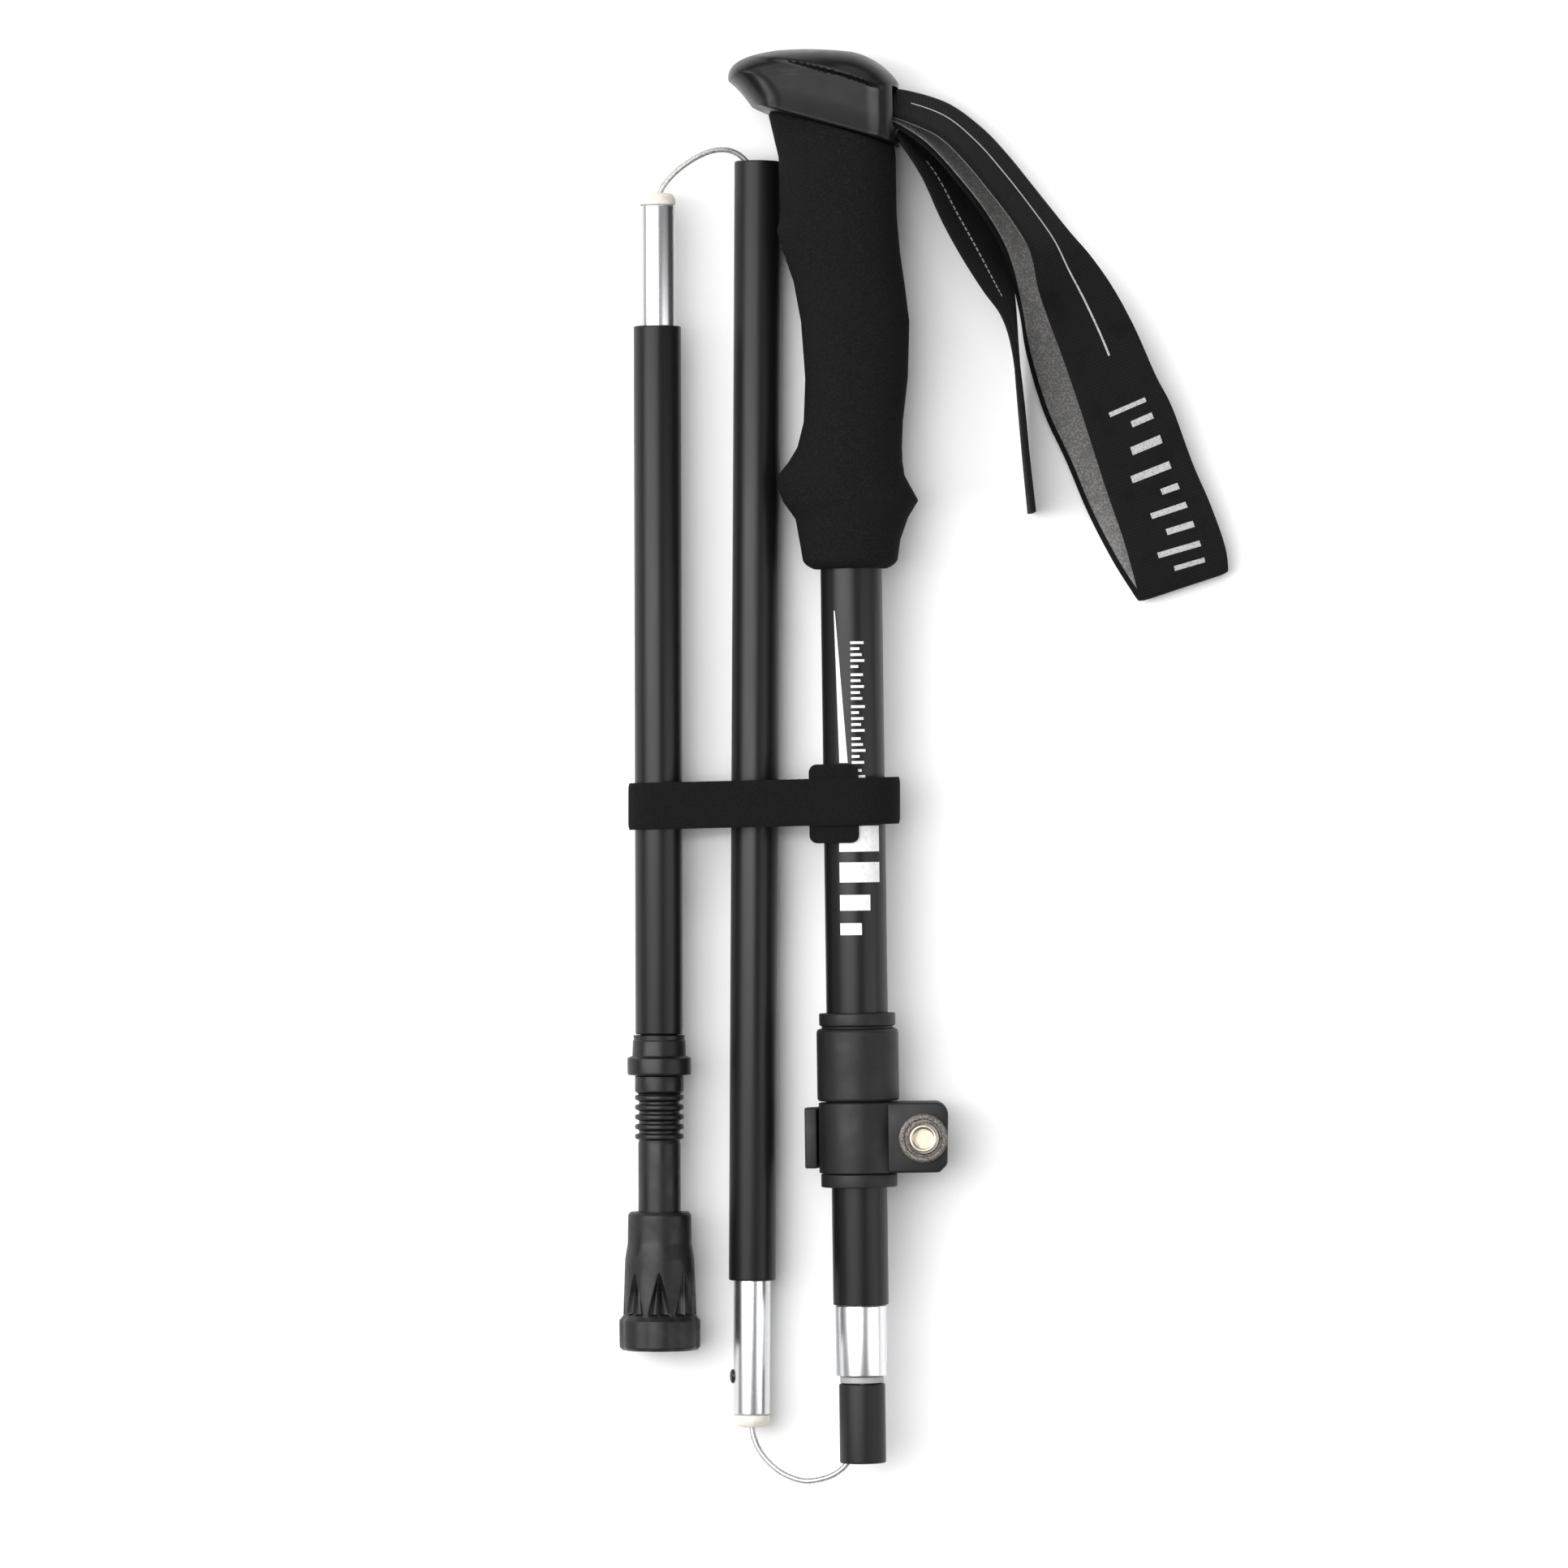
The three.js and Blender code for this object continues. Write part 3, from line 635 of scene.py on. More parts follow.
def foam_grip():
    """Oval foam sleeve with a softly rounded lip ring. It ends at the slanted joint with the head."""
    stations = np.array(FOAM_STATIONS)[::-1]
    ys = stations[:, 0]
    rows, sides, bore = 260, 128, 10.15
    outer, inner = [], []
    for j in range(rows + 1):
        t = j / rows
        ring, core = [], []
        for i in range(sides):
            angle = 2 * math.pi * i / sides
            top = seam_height(0) - SEAM_GAP
            for _ in range(6):
                y = FOAM_END + (top - FOAM_END) * t
                left, right, depth = (np.interp(y, ys, stations[:, k]) for k in (1, 2, 3))
                x = math.cos(angle) * (left if math.cos(angle) < 0 else right)
                top = seam_height(x) - SEAM_GAP
            shrink = 1 - 0.1 * max(0, 1 - (y - FOAM_END) / 1.6) ** 2
            shrink -= 0.03 * max(0, 1 - (top - y) / 0.9) ** 2
            ring.append(HANDLE @ (Vector((x * shrink, y, math.sin(angle) * depth * shrink)) * MM))
            cx, cz = bore * math.cos(angle), bore * math.sin(angle)
            end = seam_height(cx) - SEAM_GAP
            core.append(HANDLE @ (Vector((cx, FOAM_END + (end - FOAM_END) * t, cz)) * MM))
        outer.append(ring)
        inner.append(core)
    made = skin("foam_grip_visual", outer + inner[::-20], "loop")
    settle(made, "handle", "grip_foam", FOAM, "foam_grip")


foam_grip()


def bezier(a, b, c, d, steps):
    a, b, c, d = (Vector(p) for p in (a, b, c, d))
    for i in range(1, steps + 1):
        t = i / steps
        yield (1 - t) ** 3 * a + 3 * t * (1 - t) ** 2 * b + 3 * t * t * (1 - t) * c + t ** 3 * d


def head_outline():
    """The head's outline, anticlockwise from the seam's right end, and where the seam starts."""
    points = [Vector((17.3, seam_height(17.3) + SEAM_GAP)), Vector((17.2, 218.2))]
    points += bezier((17.2, 218.2), (14.5, 222.6), (8.5, 227.4), (1.8, 228.5), 30)
    points += bezier((1.8, 228.5), (-4, 229.3), (-13, 229.8), (-21, 229.2), 30)
    points += bezier((-21, 229.2), (-31, 228.2), (-36.8, 225.6), (-37.2, 221.5), 30)
    points += bezier((-37.2, 221.5), (-37.4, 219.6), (-37.2, 219.4), (-36.6, 218.9), 6)
    curve = list(bezier((-36.6, 218.9), (-31, 214.5), (-26.5, 206), (-21, 196), 60))
    points += [p for p in curve if p.y > seam_height(p.x) + SEAM_GAP]
    seam_start = len(points)
    corner = points[-1].x + 0.05
    points.append(Vector((corner, seam_height(corner) + SEAM_GAP)))
    return points, seam_start


def evenly(points, spacing):
    """The same polyline with points at most this far apart."""
    made = []
    for a, b in zip(points, points[1:]):
        steps = max(1, math.ceil((b - a).length / spacing))
        made += [a.lerp(b, k / steps) for k in range(steps)]
    return made


CREASE = [Vector(p) for p in ((-31, 227.6), (-27.9, 226.4), (-21, 225.3), (-13.6, 223.8), (-3.8, 221.1),
                              (3, 219), (9.5, 216.6), (14, 214.6))]


def distance_to(point, line):
    best = 1e9
    for a, b in zip(line, line[1:]):
        along = b - a
        t = max(0, min(1, (point - a).dot(along) / along.length_squared))
        best = min(best, (point - a - along * t).length)
    return best


def smooth_step(value, low, high):
    t = max(0.0, min(1.0, (value - low) / (high - low)))
    return t * t * (3 - 2 * t)


def head_surface(point, outer, seam):
    """Half depth of the head at a point of its outline plane, in millimetres."""
    reach = 9.0
    edge = min(distance_to(point, outer), reach) / reach
    depth = 17.8 * (1 - (1 - edge) ** 2.6) ** 0.52
    depth *= 1 - 0.035 * max(0, 1 - distance_to(point, seam) / 1.1) ** 2
    crease_y = np.interp(point.x, [p.x for p in CREASE], [p.y for p in CREASE])
    below = crease_y - point.y
    fade = smooth_step(point.x, -35, -26) * smooth_step(-point.x, -13, -7)
    wall = smooth_step(below, -0.1, 1.0) * (1 - smooth_step(below, 9, 24)) * fade
    lip = math.exp(-((below + 0.7) / 0.8) ** 2) * fade
    return max(0.0, depth - 1.5 * wall * edge + 0.35 * lip * edge)


def grip_head():
    points, seam_start = head_outline()
    outer, seam = points[:seam_start], [points[seam_start], points[0]]
    rim = evenly(points + [points[0]], 0.55)
    centre = Vector((-6, 212.5))
    shares = [1 - (1 - k / 46) ** 1.7 for k in range(46)]
    verts, faces, count = [], [], len(rim)
    for sense in (1, -1):
        for share in shares:
            for p in rim:
                q = p.lerp(centre, share)
                half = head_surface(q, outer, seam) if share else 0.0
                if share == 0:
                    on_seam = distance_to(p, seam) < 0.02
                    half = 15.3 * smooth_step(distance_to(p, outer), 0, 7) ** 0.5 if on_seam else 0.0
                verts.append(HANDLE @ (Vector((q.x, q.y, sense * half)) * MM))
        verts.append(HANDLE @ (Vector((centre.x, centre.y, sense * head_surface(centre, outer, seam))) * MM))
    for side in (0, 1):
        base = side * (count * len(shares) + 1)
        hub = base + count * len(shares)
        for j in range(len(shares) - 1):
            for i in range(count):
                k = (i + 1) % count
                here, there = base + j * count, base + (j + 1) * count
                faces.append((here + i, here + k, there + k, there + i))
        last = base + (len(shares) - 1) * count
        faces += [(last + i, last + (i + 1) % count, hub) for i in range(count)]
    other = count * len(shares) + 1
    faces += [(i, (i + 1) % count, other + (i + 1) % count, other + i) for i in range(count)]
    body = mesh_object("grip_head_visual", verts, faces)
    plug = turned("plug", HANDLE, [(0, 172), (8.9, 172), (8.9, 208), (0, 208)], 0, 48)
    carve(body, plug, "UNION")
    slot = [(9.5, 203.6), (25, 203.6), (25, 216.4), (9.5, 216.4)]
    carve(body, extruded("slot", HANDLE, slot, -12.6, 12.6, 0, "z"))
    bpy.ops.mesh.primitive_cylinder_add(vertices=32, radius=1.8 * MM, depth=27.8 * MM)
    drill = bpy.context.object
    drill.matrix_world = HANDLE @ Matrix.Translation(Vector((12.6, 210, 0)) * MM)
    carve(body, drill)
    settle(body, "handle", "grip_plastic", HEAD_PLASTIC, "grip_head")


grip_head()


# ---------- finishes on the CAD nodes that stay ----------

for node, finish in (("strap_pin", NICKEL), ("lever_pin", NICKEL), ("tension_spring", STEEL),
                     ("spring_anchor", NYLON), ("lower_tube_bush", NYLON), ("cord_anchor", NYLON),
                     ("button_spring", STEEL), ("snap_button", BUTTON_PLASTIC), ("tip_washer", ALUMINIUM),
                     ("carbide_tip", CARBIDE), ("middle_cord_run", CORD), ("tip_cord_run", CORD)):
    frame["nodes"][node].data.materials[0] = finish


# ---------- wrist strap: (outer edge, inner edge) along the webbing ----------

STRAP_LOOP = [
    ((-12.2, 215.6, 13), (-12.2, 207.5, 28)),
    ((-7.2, 216.4, 12), (-6.4, 205.5, 30)),
    ((6.9, 212.4, 10), (4.3, 200.5, 31)),
    ((18.1, 204.4, 11), (12.6, 192.5, 31)),
    ((26.7, 195.3, 12), (20.4, 183, 31)),
    ((36.3, 183.3, 13), (27.4, 173.7, 32)),
    ((45.9, 171.3, 14), (33.2, 163.8, 32)),
    ((52.9, 163.3, 15), (36, 152, 28)),
    ((60.2, 153.1, 15), (39.6, 142, 23)),
    ((67.2, 140.4, 15), (44.3, 130, 19)),
    ((74, 125.3, 14), (49.6, 115, 16)),
    ((79.4, 114.9, 13), (53.4, 103.5, 14)),
    ((85.9, 97.5, 11), (58.8, 87, 12)),
    ((91.9, 83.7, 10), (63.3, 74.5, 10)),
    ((96.6, 70.5, 8.5), (67, 62, 8.5)),
    ((97.6, 63, 5), (69, 53.6, 5)),
    ((95.6, 69, 1.7), (66, 57.6, 1.7)),
    ((88, 80, 1.6), (60.5, 66.5, 1.6)),
    ((79.5, 94, 1.6), (53, 81, 1.6)),
    ((72, 110, 1.6), (45.8, 98, 1.6)),
    ((64, 126, 1.7), (38.5, 114, 1.7)),
    ((57, 141, 1.9), (33, 132.5, 1.9)),
    ((49, 157, 2.4), (30.5, 147, 3)),
    ((38.5, 171, 3.5), (26, 163.5, 14)),
    ((26, 184.5, 4.8), (18.5, 176.5, 23)),
    ((13, 197.5, 6), (8.5, 189, 26)),
    ((1.5, 207, 7), (0.5, 197.5, 28)),
    ((-7.4, 211, 8), (-6.8, 202.6, 29)),
    ((-12.2, 212, 9), (-12.2, 205.4, 28)),
]
STRAP_TAIL = [
    ((-12, 204.8, 27), (-12, 206.5, 9)),
    ((-7.2, 198.4, 28), (-5, 203, 7)),
    ((-0.6, 187.5, 26), (9, 193.5, 5)),
    ((5.3, 174.5, 25), (18, 182.6, 4)),
    ((11.6, 163, 24), (24.5, 171.5, 4)),
    ((18.9, 151.5, 25), (28, 158.8, 5)),
    ((24.8, 143.5, 27), (29, 146.8, 7)),
    ((28.4, 133, 28), (29.6, 134.4, 5)),
    ((30.8, 116, 27), (31, 116, 2.6)),
    ((32.6, 98, 26.5), (32.6, 98, 1.6)),
    ((34.6, 81, 26.5), (34.2, 81, 1.6)),
]


WEBBING_LIFTS = (-0.35, 1.1)
LINING_LIFTS = (-1.15, -0.36)
THREAD_LIFTS = (1.08, 1.24)
TAIL_LIFTS = (-1.0, 1.0)


class Webbing:
    """A flat band whose two long edges are smooth curves through matching stations."""

    def __init__(self, stations, steps):
        self.steps = steps
        self.spans = len(stations) - 1
        self.edges = [smooth_curve([s[side] for s in stations], steps) for side in (0, 1)]
        middle = [(a + b) / 2 for a, b in zip(*self.edges)]
        self.run = [0.0]
        for a, b in zip(middle, middle[1:]):
            self.run.append(self.run[-1] + (b - a).length)
        self.length = self.run[-1]
        widths = [(b - a).length for a, b in zip(*self.edges)]
        self.width = sum(widths) / len(widths)

    def frame(self, row):
        """Edge points and the facing direction at a row that may lie between two steps."""
        row = max(0.0, min(self.steps - 1e-6, row))
        k, t = int(row), row - int(row)
        a, b = (edge[k].lerp(edge[k + 1], t) for edge in self.edges)
        before, after = max(k - 1, 0), min(k + 2, self.steps)
        along = sum((edge[after] - edge[before] for edge in self.edges), Vector())
        return a, b, (b - a).cross(along).normalized()

    def at(self, row, across, lift):
        a, b, facing = self.frame(row)
        return (a.lerp(b, across) + facing * lift + ORIGIN_SHIFT) * MM

    def row_of(self, station):
        return station / self.spans * self.steps

    def strip(self, name, rows, across, lifts, columns=20):
        """A closed band between two rows, two places across and two lifts off the middle plane."""
        rings, uvs = [], []
        low, high = lifts
        for row in rows:
            places = [across[0] + (across[1] - across[0]) * k / columns for k in range(columns + 1)]
            run = float(np.interp(row, range(self.steps + 1), self.run)) * MM
            ring = []
            for order, lift in ((places, high), (places[::-1], low)):
                for k, v in enumerate(order):
                    edge = min(k, columns - k)
                    soft = 0.55 if edge == 0 else 0.12 if edge == 1 else 0.0
                    level = lift + (low - lift if lift == high else high - lift) * soft * 0.6
                    ring.append(self.at(row, v, level))
                    uvs.append((v * self.width * MM, run))
            rings.append(ring)
        hubs = [(0.5 * self.width * MM, 0.0)] * 2
        return skin(name, rings, "hub", uvs + hubs)

    def rows(self, start, end, count):
        first, last = self.row_of(start), self.row_of(end)
        return [first + (last - first) * k / count for k in range(count + 1)]


def joined(name, objects):
    with bpy.context.temp_override(active_object=objects[0], selected_editable_objects=objects):
        bpy.ops.object.join()
    objects[0].name = name
    return objects[0]


loop_band = Webbing(STRAP_LOOP, 520)
tail_band = Webbing(STRAP_TAIL, 200)


def wrist_strap():
    last = len(STRAP_LOOP) - 1
    outside = loop_band.strip("wrist_strap_webbing", loop_band.rows(0, last, 520), (0, 1), WEBBING_LIFTS)
    lining_rows = loop_band.rows(0.4, last - 0.3, 480)
    lining = loop_band.strip("wrist_strap_lining", lining_rows, (0.055, 0.945), LINING_LIFTS, 16)
    stripe_rows = loop_band.rows(1.2, 9.3, 200)
    stripe = loop_band.strip("wrist_strap_stripe", stripe_rows, (0.43, 0.456), THREAD_LIFTS, 3)
    marks = []
    for row, reach in enumerate((0.46, 0.26, 0.36, 0.46, 0.2, 0.4, 0.3, 0.46, 0.33)):
        start = 10.45 + row * 0.46
        rows = loop_band.rows(start, start + 0.14, 8)
        marks.append(loop_band.strip(f"mark_{row}", rows, (0.24, 0.24 + reach), THREAD_LIFTS, 12))
    for made in (stripe, *marks):
        made.data.materials.append(THREAD)
    marks = joined("wrist_strap_marks", marks)
    settle(outside, "strap", "webbing", WEBBING, "wrist_strap")
    settle(lining, "strap", "webbing", FELT)
    settle(stripe, "strap", "webbing", THREAD)
    settle(marks, "strap", "webbing", THREAD)


def strap_tail():
    last = len(STRAP_TAIL) - 1
    tail = tail_band.strip("strap_tail_webbing", tail_band.rows(0, last, 200), (0, 1), TAIL_LIFTS)
    seams = []
    for k in range(26):
        start = 1.7 + k * 0.145
        for lift in ((0.95, 1.16), (-1.16, -0.95)):
            rows = tail_band.rows(start, start + 0.1, 4)
            seams.append(tail_band.strip(f"stitch_{k}_{lift[0]}", rows, (0.3, 0.325), lift, 2))
    for made in seams:
        made.data.materials.append(THREAD)
    seams = joined("strap_tail_stitching", seams)
    settle(tail, "strap", "webbing", WEBBING, "strap_tail")
    settle(seams, "strap", "webbing", THREAD)


wrist_strap()
strap_tail()


# ---------- hook-and-loop tie ----------

TIE_ARCS = [(-85.48, 13.2, 8.1, 98, 262), (-54.45, 9.7, 7.9, 262, 284), (-20.56, 20, 11.15, -76, 98)]
TIE_WIDTH = 15
TIE_HALF_THICKNESS = 0.75
TIE_MIDDLE = -12.2


def tie_path():
    points = []
    for x, z, radius, start, end in TIE_ARCS:
        points += [Vector(p) for p in arc(x, z, radius + TIE_HALF_THICKNESS, start, end, 40)]
    return evenly(points + [points[0]], 0.9)


def tie_strip(name, points):
    """The band swept along its path. Its long edges are softly rounded and lean with the wrap."""
    rings, uvs = [], []
    columns = 16
    run = 0.0
    for i, here in enumerate(points):
        before = points[i - 1] if i else here
        after = points[i + 1] if i + 1 < len(points) else here
        along = (after - before).normalized()
        outward = Vector((along.y, -along.x))
        run += (here - before).length if i else 0
        ring = []
        for sense in (1, -1):
            for k in range(columns + 1):
                v = k / columns if sense > 0 else 1 - k / columns
                edge = min(k, columns - k)
                half = TIE_HALF_THICKNESS * (0.45 if edge == 0 else 0.85 if edge == 1 else 1.0)
                spot = here + outward * sense * half
                y = TIE_MIDDLE + (v - 0.5) * TIE_WIDTH + (spot.x + 51) * 0.024
                ring.append((Vector((spot.x, y, spot.y)) + ORIGIN_SHIFT) * MM)
                uvs.append((v * TIE_WIDTH * MM, run * MM))
        rings.append(ring)
    return skin(name, rings, "hub", uvs + [(0, 0), (0, 0)])


def hook_and_loop_tie():
    path = tie_path()
    cuff_left = -36.5
    on_cuff = [p.x > cuff_left for p in path]
    start = next(i for i in range(len(path)) if on_cuff[i] and not on_cuff[i - 1])
    turned_path = path[start:] + path[:start]
    count = sum(on_cuff)
    cuff_path = turned_path[:count]
    run_path = turned_path[count - 1:] + turned_path[:1]
    cuff = tie_strip("tie_cuff", cuff_path)
    run = tie_strip("tie_run", run_path)
    outline = []
    corners = [(-1.3, -2.2, 2.6, 0, 90), (-11.9, -2.2, 2.6, 90, 180), (-11.9, -22.2, 2.6, 180, 270),
               (-1.3, -22.2, 2.6, 270, 360)]
    for x, y, radius, first, last in corners:
        outline += arc(x, y, radius, first, last, 8)
    patch = extruded("tie_head_patch", HANDLE, outline, 0, 0.8, 0.2, "z")
    inverse = HANDLE.inverted()
    for vertex in patch.data.vertices:
        local = inverse @ vertex.co
        drop = 10.25 + (local.x / MM - 1.2) * 0.16
        vertex.co = HANDLE @ Vector((local.x, local.y, local.z + drop * MM))
    settle(cuff, "handle", "tie_fabric", TIE, "tie_band")
    settle(run, "handle", "tie_fabric", TIE)
    settle(patch, "handle", "tie_fabric", TIE, "tie_head")
    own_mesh(run)


hook_and_loop_tie()


# ---------- lever lock ----------

SCREW = Vector((20.5, -119.3, 0))


def turned_z(name, place, centre, profile, soften=0.2, sides=64):
    """A piece turned about a line along z through the centre, from (radius, z) in millimetres."""
    outline = rounded(profile, soften) if soften else [Vector(p) for p in profile]
    closed = outline[0] == outline[-1]
    rings = []
    for radius, z in outline[:-1] if closed else outline:
        angles = (2 * math.pi * i / sides for i in range(sides))
        rings.append([place @ ((centre + Vector((radius * math.cos(a), radius * math.sin(a), z))) * MM)
                      for a in angles])
    return skin(name, rings, "loop" if closed else "hub")


def lever_lock():
    collar = turned("lock_collar_visual", HANDLE, [
        (10.15, -79.3), (10.15, -104.3), (9.2, -104.3), (9.2, -134.9), (12.2, -134.9), (12.2, -130.7),
        (10.4, -130.7), (10.4, -107.4), (12.5, -107.4), (13.1, -106.8), (13.1, -85.2), (12.6, -84.4),
        (11.4, -84.1), (11.4, -83.4), (12.2, -83.2), (12.2, -79.3), (10.15, -79.3),
    ], 0.4)
    settle(collar, "handle", "lock_plastic", LOCK_PLASTIC, "lock_collar")
    band = turned("clamp_body_visual", HANDLE, ring_profile(10.7, 12.7, -130.4, -107.9), 0.35)
    ear_outline = [(9, -130.4), (25.6, -130.4), (28.2, -127.8), (28.6, -111.9)]
    ear_outline += arc(24.6, -111.9, 4.0, 0, 90, 8)[1:] + [(9, -107.9)]
    ears = extruded("ears", HANDLE, ear_outline, -8.8, 8.8, 0.9, "z")
    carve(ears, turned("bore", HANDLE, [(0, -136), (10.7, -136), (10.7, -100), (0, -100)], 0))
    carve(band, ears, "UNION")
    carve(band, extruded("slit", HANDLE, [(8, -136), (40, -136), (40, -100), (8, -100)], -1.6, 1.6, 0, "z"))
    carve(band, turned_z("hole", HANDLE, SCREW, [(0, -15), (2.4, -15), (2.4, 15), (0, 15)], 0, 32))
    settle(band, "handle", "lock_plastic", LOCK_PLASTIC, "clamp_body")
    washer = turned_z("clamp_washer_visual", HANDLE, SCREW, [
        (2.4, 9.1), (7.8, 9.1), (7.8, 10.0), (7.2, 10.4), (6.2, 10.4), (5.9, 10.15), (5.3, 10.15),
        (5.1, 10.4), (2.4, 10.4), (2.4, 9.1),
    ], 0.15, 96)
    settle(washer, "handle", "washer_dark", WASHER, "clamp_washer")
    screw = turned_z("clamp_screw_visual", HANDLE, SCREW, [
        (0, -12.8), (2.1, -12.8), (2.1, 10.7), (4.9, 10.7), (4.9, 12.9), (4.2, 13.7), (3.6, 13.7),
        (3.2, 13.35), (0, 13.35),
    ], 0.25, 72)
    carve(screw, turned_z("hex", HANDLE, SCREW, [(0, 11.2), (3.1, 11.2), (3.1, 20), (0, 20)], 0, 6))
    settle(screw, "adjusting_screw", "screw_nickel", NICKEL, "clamp_screw")
    lever_profile = arc(0, 0, 17.4, 185.4, 270, 40) + [(20.5, -19.8)]
    lever_profile += arc(20.5, -15.2, 4.6, -90, 171, 30)
    lever_profile += [(9, -14.7), (0, -13.4)] + arc(0, 0, 13.4, 270, 185.4, 40)
    lever = extruded("lock_lever_visual", HANDLE, lever_profile, -129, -109.5, 0.8, "y")
    turns = np.linspace(0, 2 * math.pi, 33)[:-1]
    pin = [(20.5 + 2.3 * math.cos(a), -15.2 + 2.3 * math.sin(a)) for a in turns]
    carve(lever, extruded("pin", HANDLE, pin, -140, -100, 0, "y"))
    slot = [(18, -122), (40, -122), (40, -116.6), (18, -116.6)]
    carve(lever, extruded("slot", HANDLE, slot, -25, -5, 0, "z"))
    settle(lever, "lever", "lock_plastic", LOCK_PLASTIC, "lock_lever")


lever_lock()


# ---------- tip section ----------

def foot_radius(angle, y):
    """Outer radius of the rubber foot, with a lobed base ring and pointed flutes."""
    heights = (-187.5, -186.6, -178, -176.3, -158.5, -153.2, -144.2, -143.3)
    radii = (12.1, 12.95, 13.05, 11.7, 11.1, 10.25, 10.1, 9.4)
    radius = float(np.interp(y, heights, radii))
    base = smooth_step(-y, 175.8, 177.4)
    radius -= 0.35 * base * abs(math.sin(4 * angle)) ** 6
    apex, foot = -161.6, -176.4
    down = (apex - y) / (apex - foot)
    if 0 < down < 1:
        step = math.pi / 4
        offset = abs((angle + step / 2) % step - step / 2)
        half = step * 0.44 * down ** 0.9
        u = min(offset / half, 1)
        radius -= 1.5 * min(1, down * 2.2) * math.sin(math.pi * u) ** 0.8 * (1 - smooth_step(down, 0.94, 1))
    return radius


def rubber_foot():
    sides = 320
    heights = np.concatenate([np.linspace(-187.5, -186.3, 7), np.linspace(-185.8, -178.5, 10),
                              np.linspace(-178.2, -175.8, 14), np.linspace(-175.6, -160, 66),
                              np.linspace(-159, -144.5, 26), np.linspace(-144.2, -143.3, 6)])

    def ring(radius, y):
        made = []
        for i in range(sides):
            a = 2 * math.pi * i / sides
            r = radius if radius is not None else foot_radius(a, y)
            made.append(TIP @ (Vector((r * math.cos(a), y, r * math.sin(a))) * MM))
        return made

    rings = [ring(r, y) for r, y in ((3, -187.5), (10.6, -187.5))]
    rings += [ring(None, y) for y in heights]
    bore = ((7.6, -143.3), (7.1, -143.9), (7.1, -161), (4.4, -162.5), (4.4, -179.2), (1.5, -179.2))
    rings += [ring(r, y) for r, y in bore]
    made = skin("rubber_tip_visual", rings)
    settle(made, "foot", "tip_rubber", RUBBER, "rubber_tip")


def tip_holder():
    profile = [(0, -160.5), (5.6, -160.5), (6.8, -158.5), (6.8, -121.2)]
    for i in range(4, -1, -1):
        y = -105.6 - i * 3.12
        profile += [(6.5, y - 2.1), (7.8, y - 1.6), (7.8, y - 0.3), (6.5, y)]
    profile += [(7.8, -104.6), (7.8, -99.6), (6.6, -99.6), (6.6, -86.6), (5.95, -86.6)]
    profile += [(5.95, -66), (0, -66)]
    made = turned("tip_holder_visual", TIP, profile, 0.3)
    settle(made, "tip_section", "tip_plastic", TIP_PLASTIC, "tip_holder")


def basket_nut():
    profile = [
        (7.9, -97), (7.1, -97.3), (7.1, -99.3), (10.0, -99.3), (10.2, -98.6), (10.2, -93.9), (8.6, -93.2),
        (8.45, -88.4), (8.1, -88.0), (8.3, -86.6), (7.9, -86.6), (7.9, -97),
    ]
    made = turned("basket_nut_visual", TIP, profile, 0.25)
    settle(made, "tip_section", "tip_plastic", TIP_PLASTIC, "basket_nut")


rubber_foot()
tip_holder()
basket_nut()


# ---------- printed marks on the upper tube, plain shapes only ----------

def tube_mark(name, corners, columns=10, rows=12):
    """A thin printed shape wrapped round the upper tube. Corners are (x, y) seen from above."""
    a, b, c, d = (Vector(p) for p in corners)
    sheets = []
    for lift in (0.09, 0.005):
        grid = []
        for j in range(rows + 1):
            for i in range(columns + 1):
                left, right = a.lerp(d, j / rows), b.lerp(c, j / rows)
                spot = left.lerp(right, i / columns)
                angle = math.asin(max(-0.98, min(0.98, spot.x / UPPER_TUBE_RADIUS)))
                reach = UPPER_TUBE_RADIUS + lift
                local = Vector((reach * math.sin(angle), spot.y, reach * math.cos(angle)))
                grid.append(HANDLE @ (local * MM))
        sheets.append(grid)
    width, total = columns + 1, (columns + 1) * (rows + 1)
    faces = []
    for j in range(rows):
        for i in range(columns):
            k = j * width + i
            faces.append((k, k + 1, k + 1 + width, k + width))
            faces.append((total + k, total + k + width, total + k + 1 + width, total + k + 1))
    rim = list(range(width)) + [j * width + columns for j in range(1, rows + 1)]
    rim += [rows * width + i for i in range(columns - 1, -1, -1)]
    rim += [j * width for j in range(rows - 1, 0, -1)]
    faces += [(p, q, total + q, total + p) for p, q in zip(rim, rim[1:] + rim[:1])]
    return mesh_object(name, sheets[0] + sheets[1], faces)


BLOCKS = ((-19.4, 8.2, 12.6), (-31, 6.4, 12.6), (-41.4, 5, 9.6), (-50.4, 3.8, 6.8))
TICK_WIDTHS = (4.2, 2.9, 3.6, 4.4, 2.5, 3.9, 3.1)


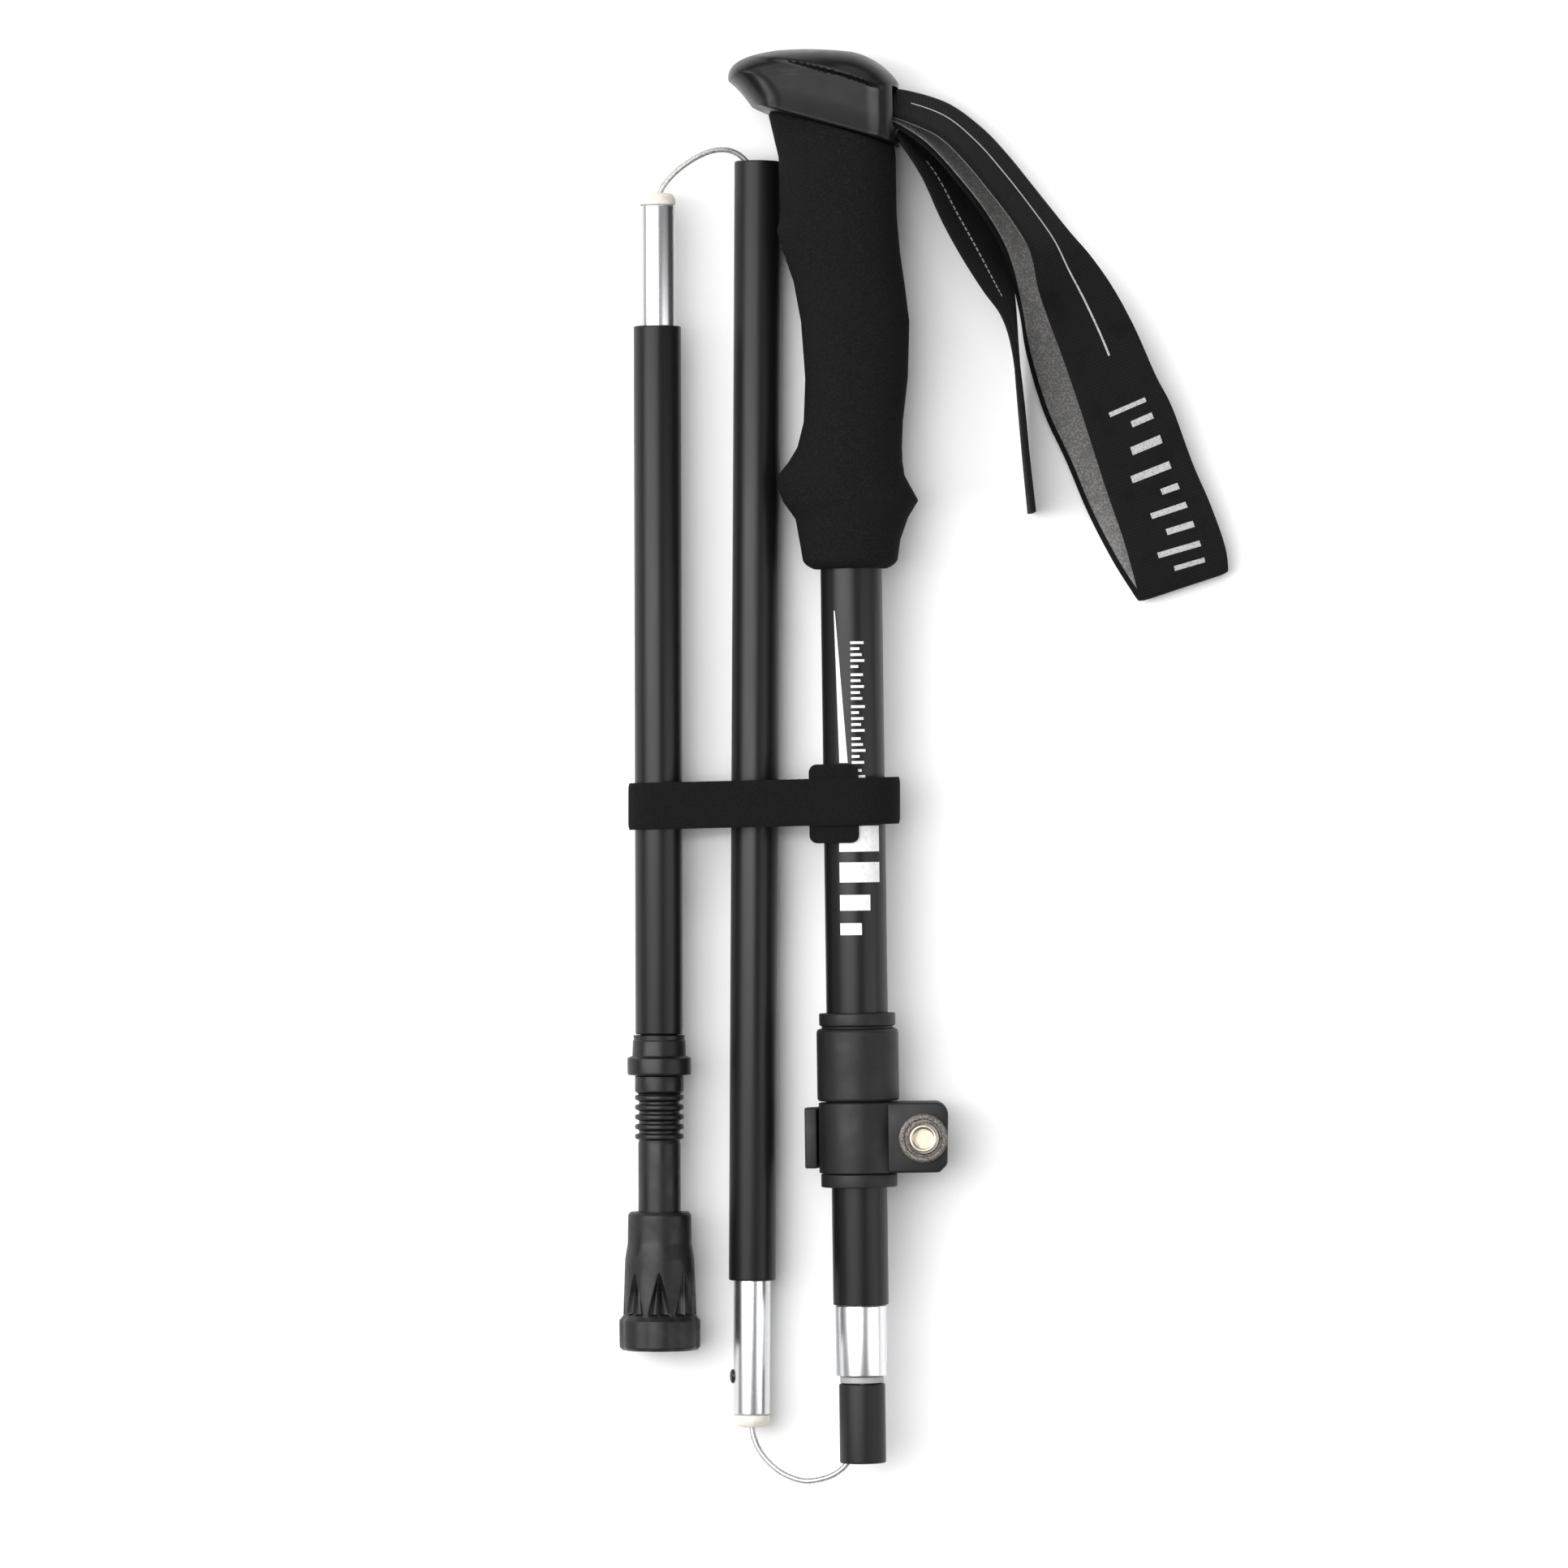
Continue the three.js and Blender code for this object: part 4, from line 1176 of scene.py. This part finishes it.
def tube_print():
    marks = [tube_mark("flash", [(-5.75, 49.4), (-5.45, 49.4), (-2.0, 0.8), (-4.6, 0.8)], rows=30)]
    for k, (top, height, reach) in enumerate(BLOCKS):
        right = -5.0 + reach
        corners = [(-5.0, top), (right, top), (right, top - height), (-5.0, top - height)]
        marks.append(tube_mark(f"block_{k}", corners))
    y = 39.5
    for k in range(22):
        right = -0.7 + TICK_WIDTHS[k % len(TICK_WIDTHS)]
        corners = [(-0.7, y), (right, y), (right, y - 0.85), (-0.7, y - 0.85)]
        marks.append(tube_mark(f"tick_{k}", corners, columns=6, rows=2))
        y -= 1.9 if k % 5 != 4 else 2.6
    for made in marks:
        made.data.materials.append(PRINT)
    made = joined("upper_tube_print", marks)
    settle(made, "handle", "tube_paint", PRINT)


tube_print()


# ---------- floor, light and colour ----------

def make_floor():
    finish = Finish("floor", grey(0.9), 0.85)
    finish.tint(finish.noise(3, 3), grey(0.885), 0.4, 0.7)
    mesh = bpy.data.meshes.new("floor")
    reach = 25
    corners = [(-reach, -reach, 0), (reach, -reach, 0), (reach, reach, 0), (-reach, reach, 0)]
    mesh.from_pydata(corners, [], [(0, 1, 2, 3)])
    mesh.materials.append(finish.material)
    floor = bpy.data.objects.new("floor", mesh)
    floor.location.z = -0.0002
    bpy.context.scene.collection.objects.link(floor)


def area_light(name, location, aim, size, power):
    data = bpy.data.lights.new(name, "AREA")
    data.shape = "RECTANGLE"
    data.size, data.size_y = size
    data.energy = power
    made = bpy.data.objects.new(name, data)
    made.location = location
    made.rotation_euler = (Vector(aim) - Vector(location)).to_track_quat("-Z", "Y").to_euler()
    bpy.context.scene.collection.objects.link(made)


def make_light():
    world = bpy.data.worlds.new("studio")
    world.use_nodes = True
    background = world.node_tree.nodes["Background"]
    background.inputs["Color"].default_value = (1, 1, 1, 1)
    background.inputs["Strength"].default_value = 0.2
    bpy.context.scene.world = world
    area_light("left_softbox", (-0.95, 0.1, 1.6), (0, 0, 0), (0.6, 2.4), 22)
    area_light("far_softbox", (0.3, 1.7, 1.5), (0, 0, 0), (2.0, 0.7), 8)
    area_light("right_fill", (1.7, -0.3, 1.2), (0, 0, 0), (1.0, 2.0), 14)
    sky = bpy.data.lights.new("ceiling", "SUN")
    sky.energy = 2.6
    sky.angle = math.radians(70)
    ceiling = bpy.data.objects.new("ceiling", sky)
    ceiling.rotation_euler = (math.radians(-14), math.radians(-32), 0)
    bpy.context.scene.collection.objects.link(ceiling)
    bpy.context.scene.view_settings.view_transform = "Standard"


make_floor()
make_light()
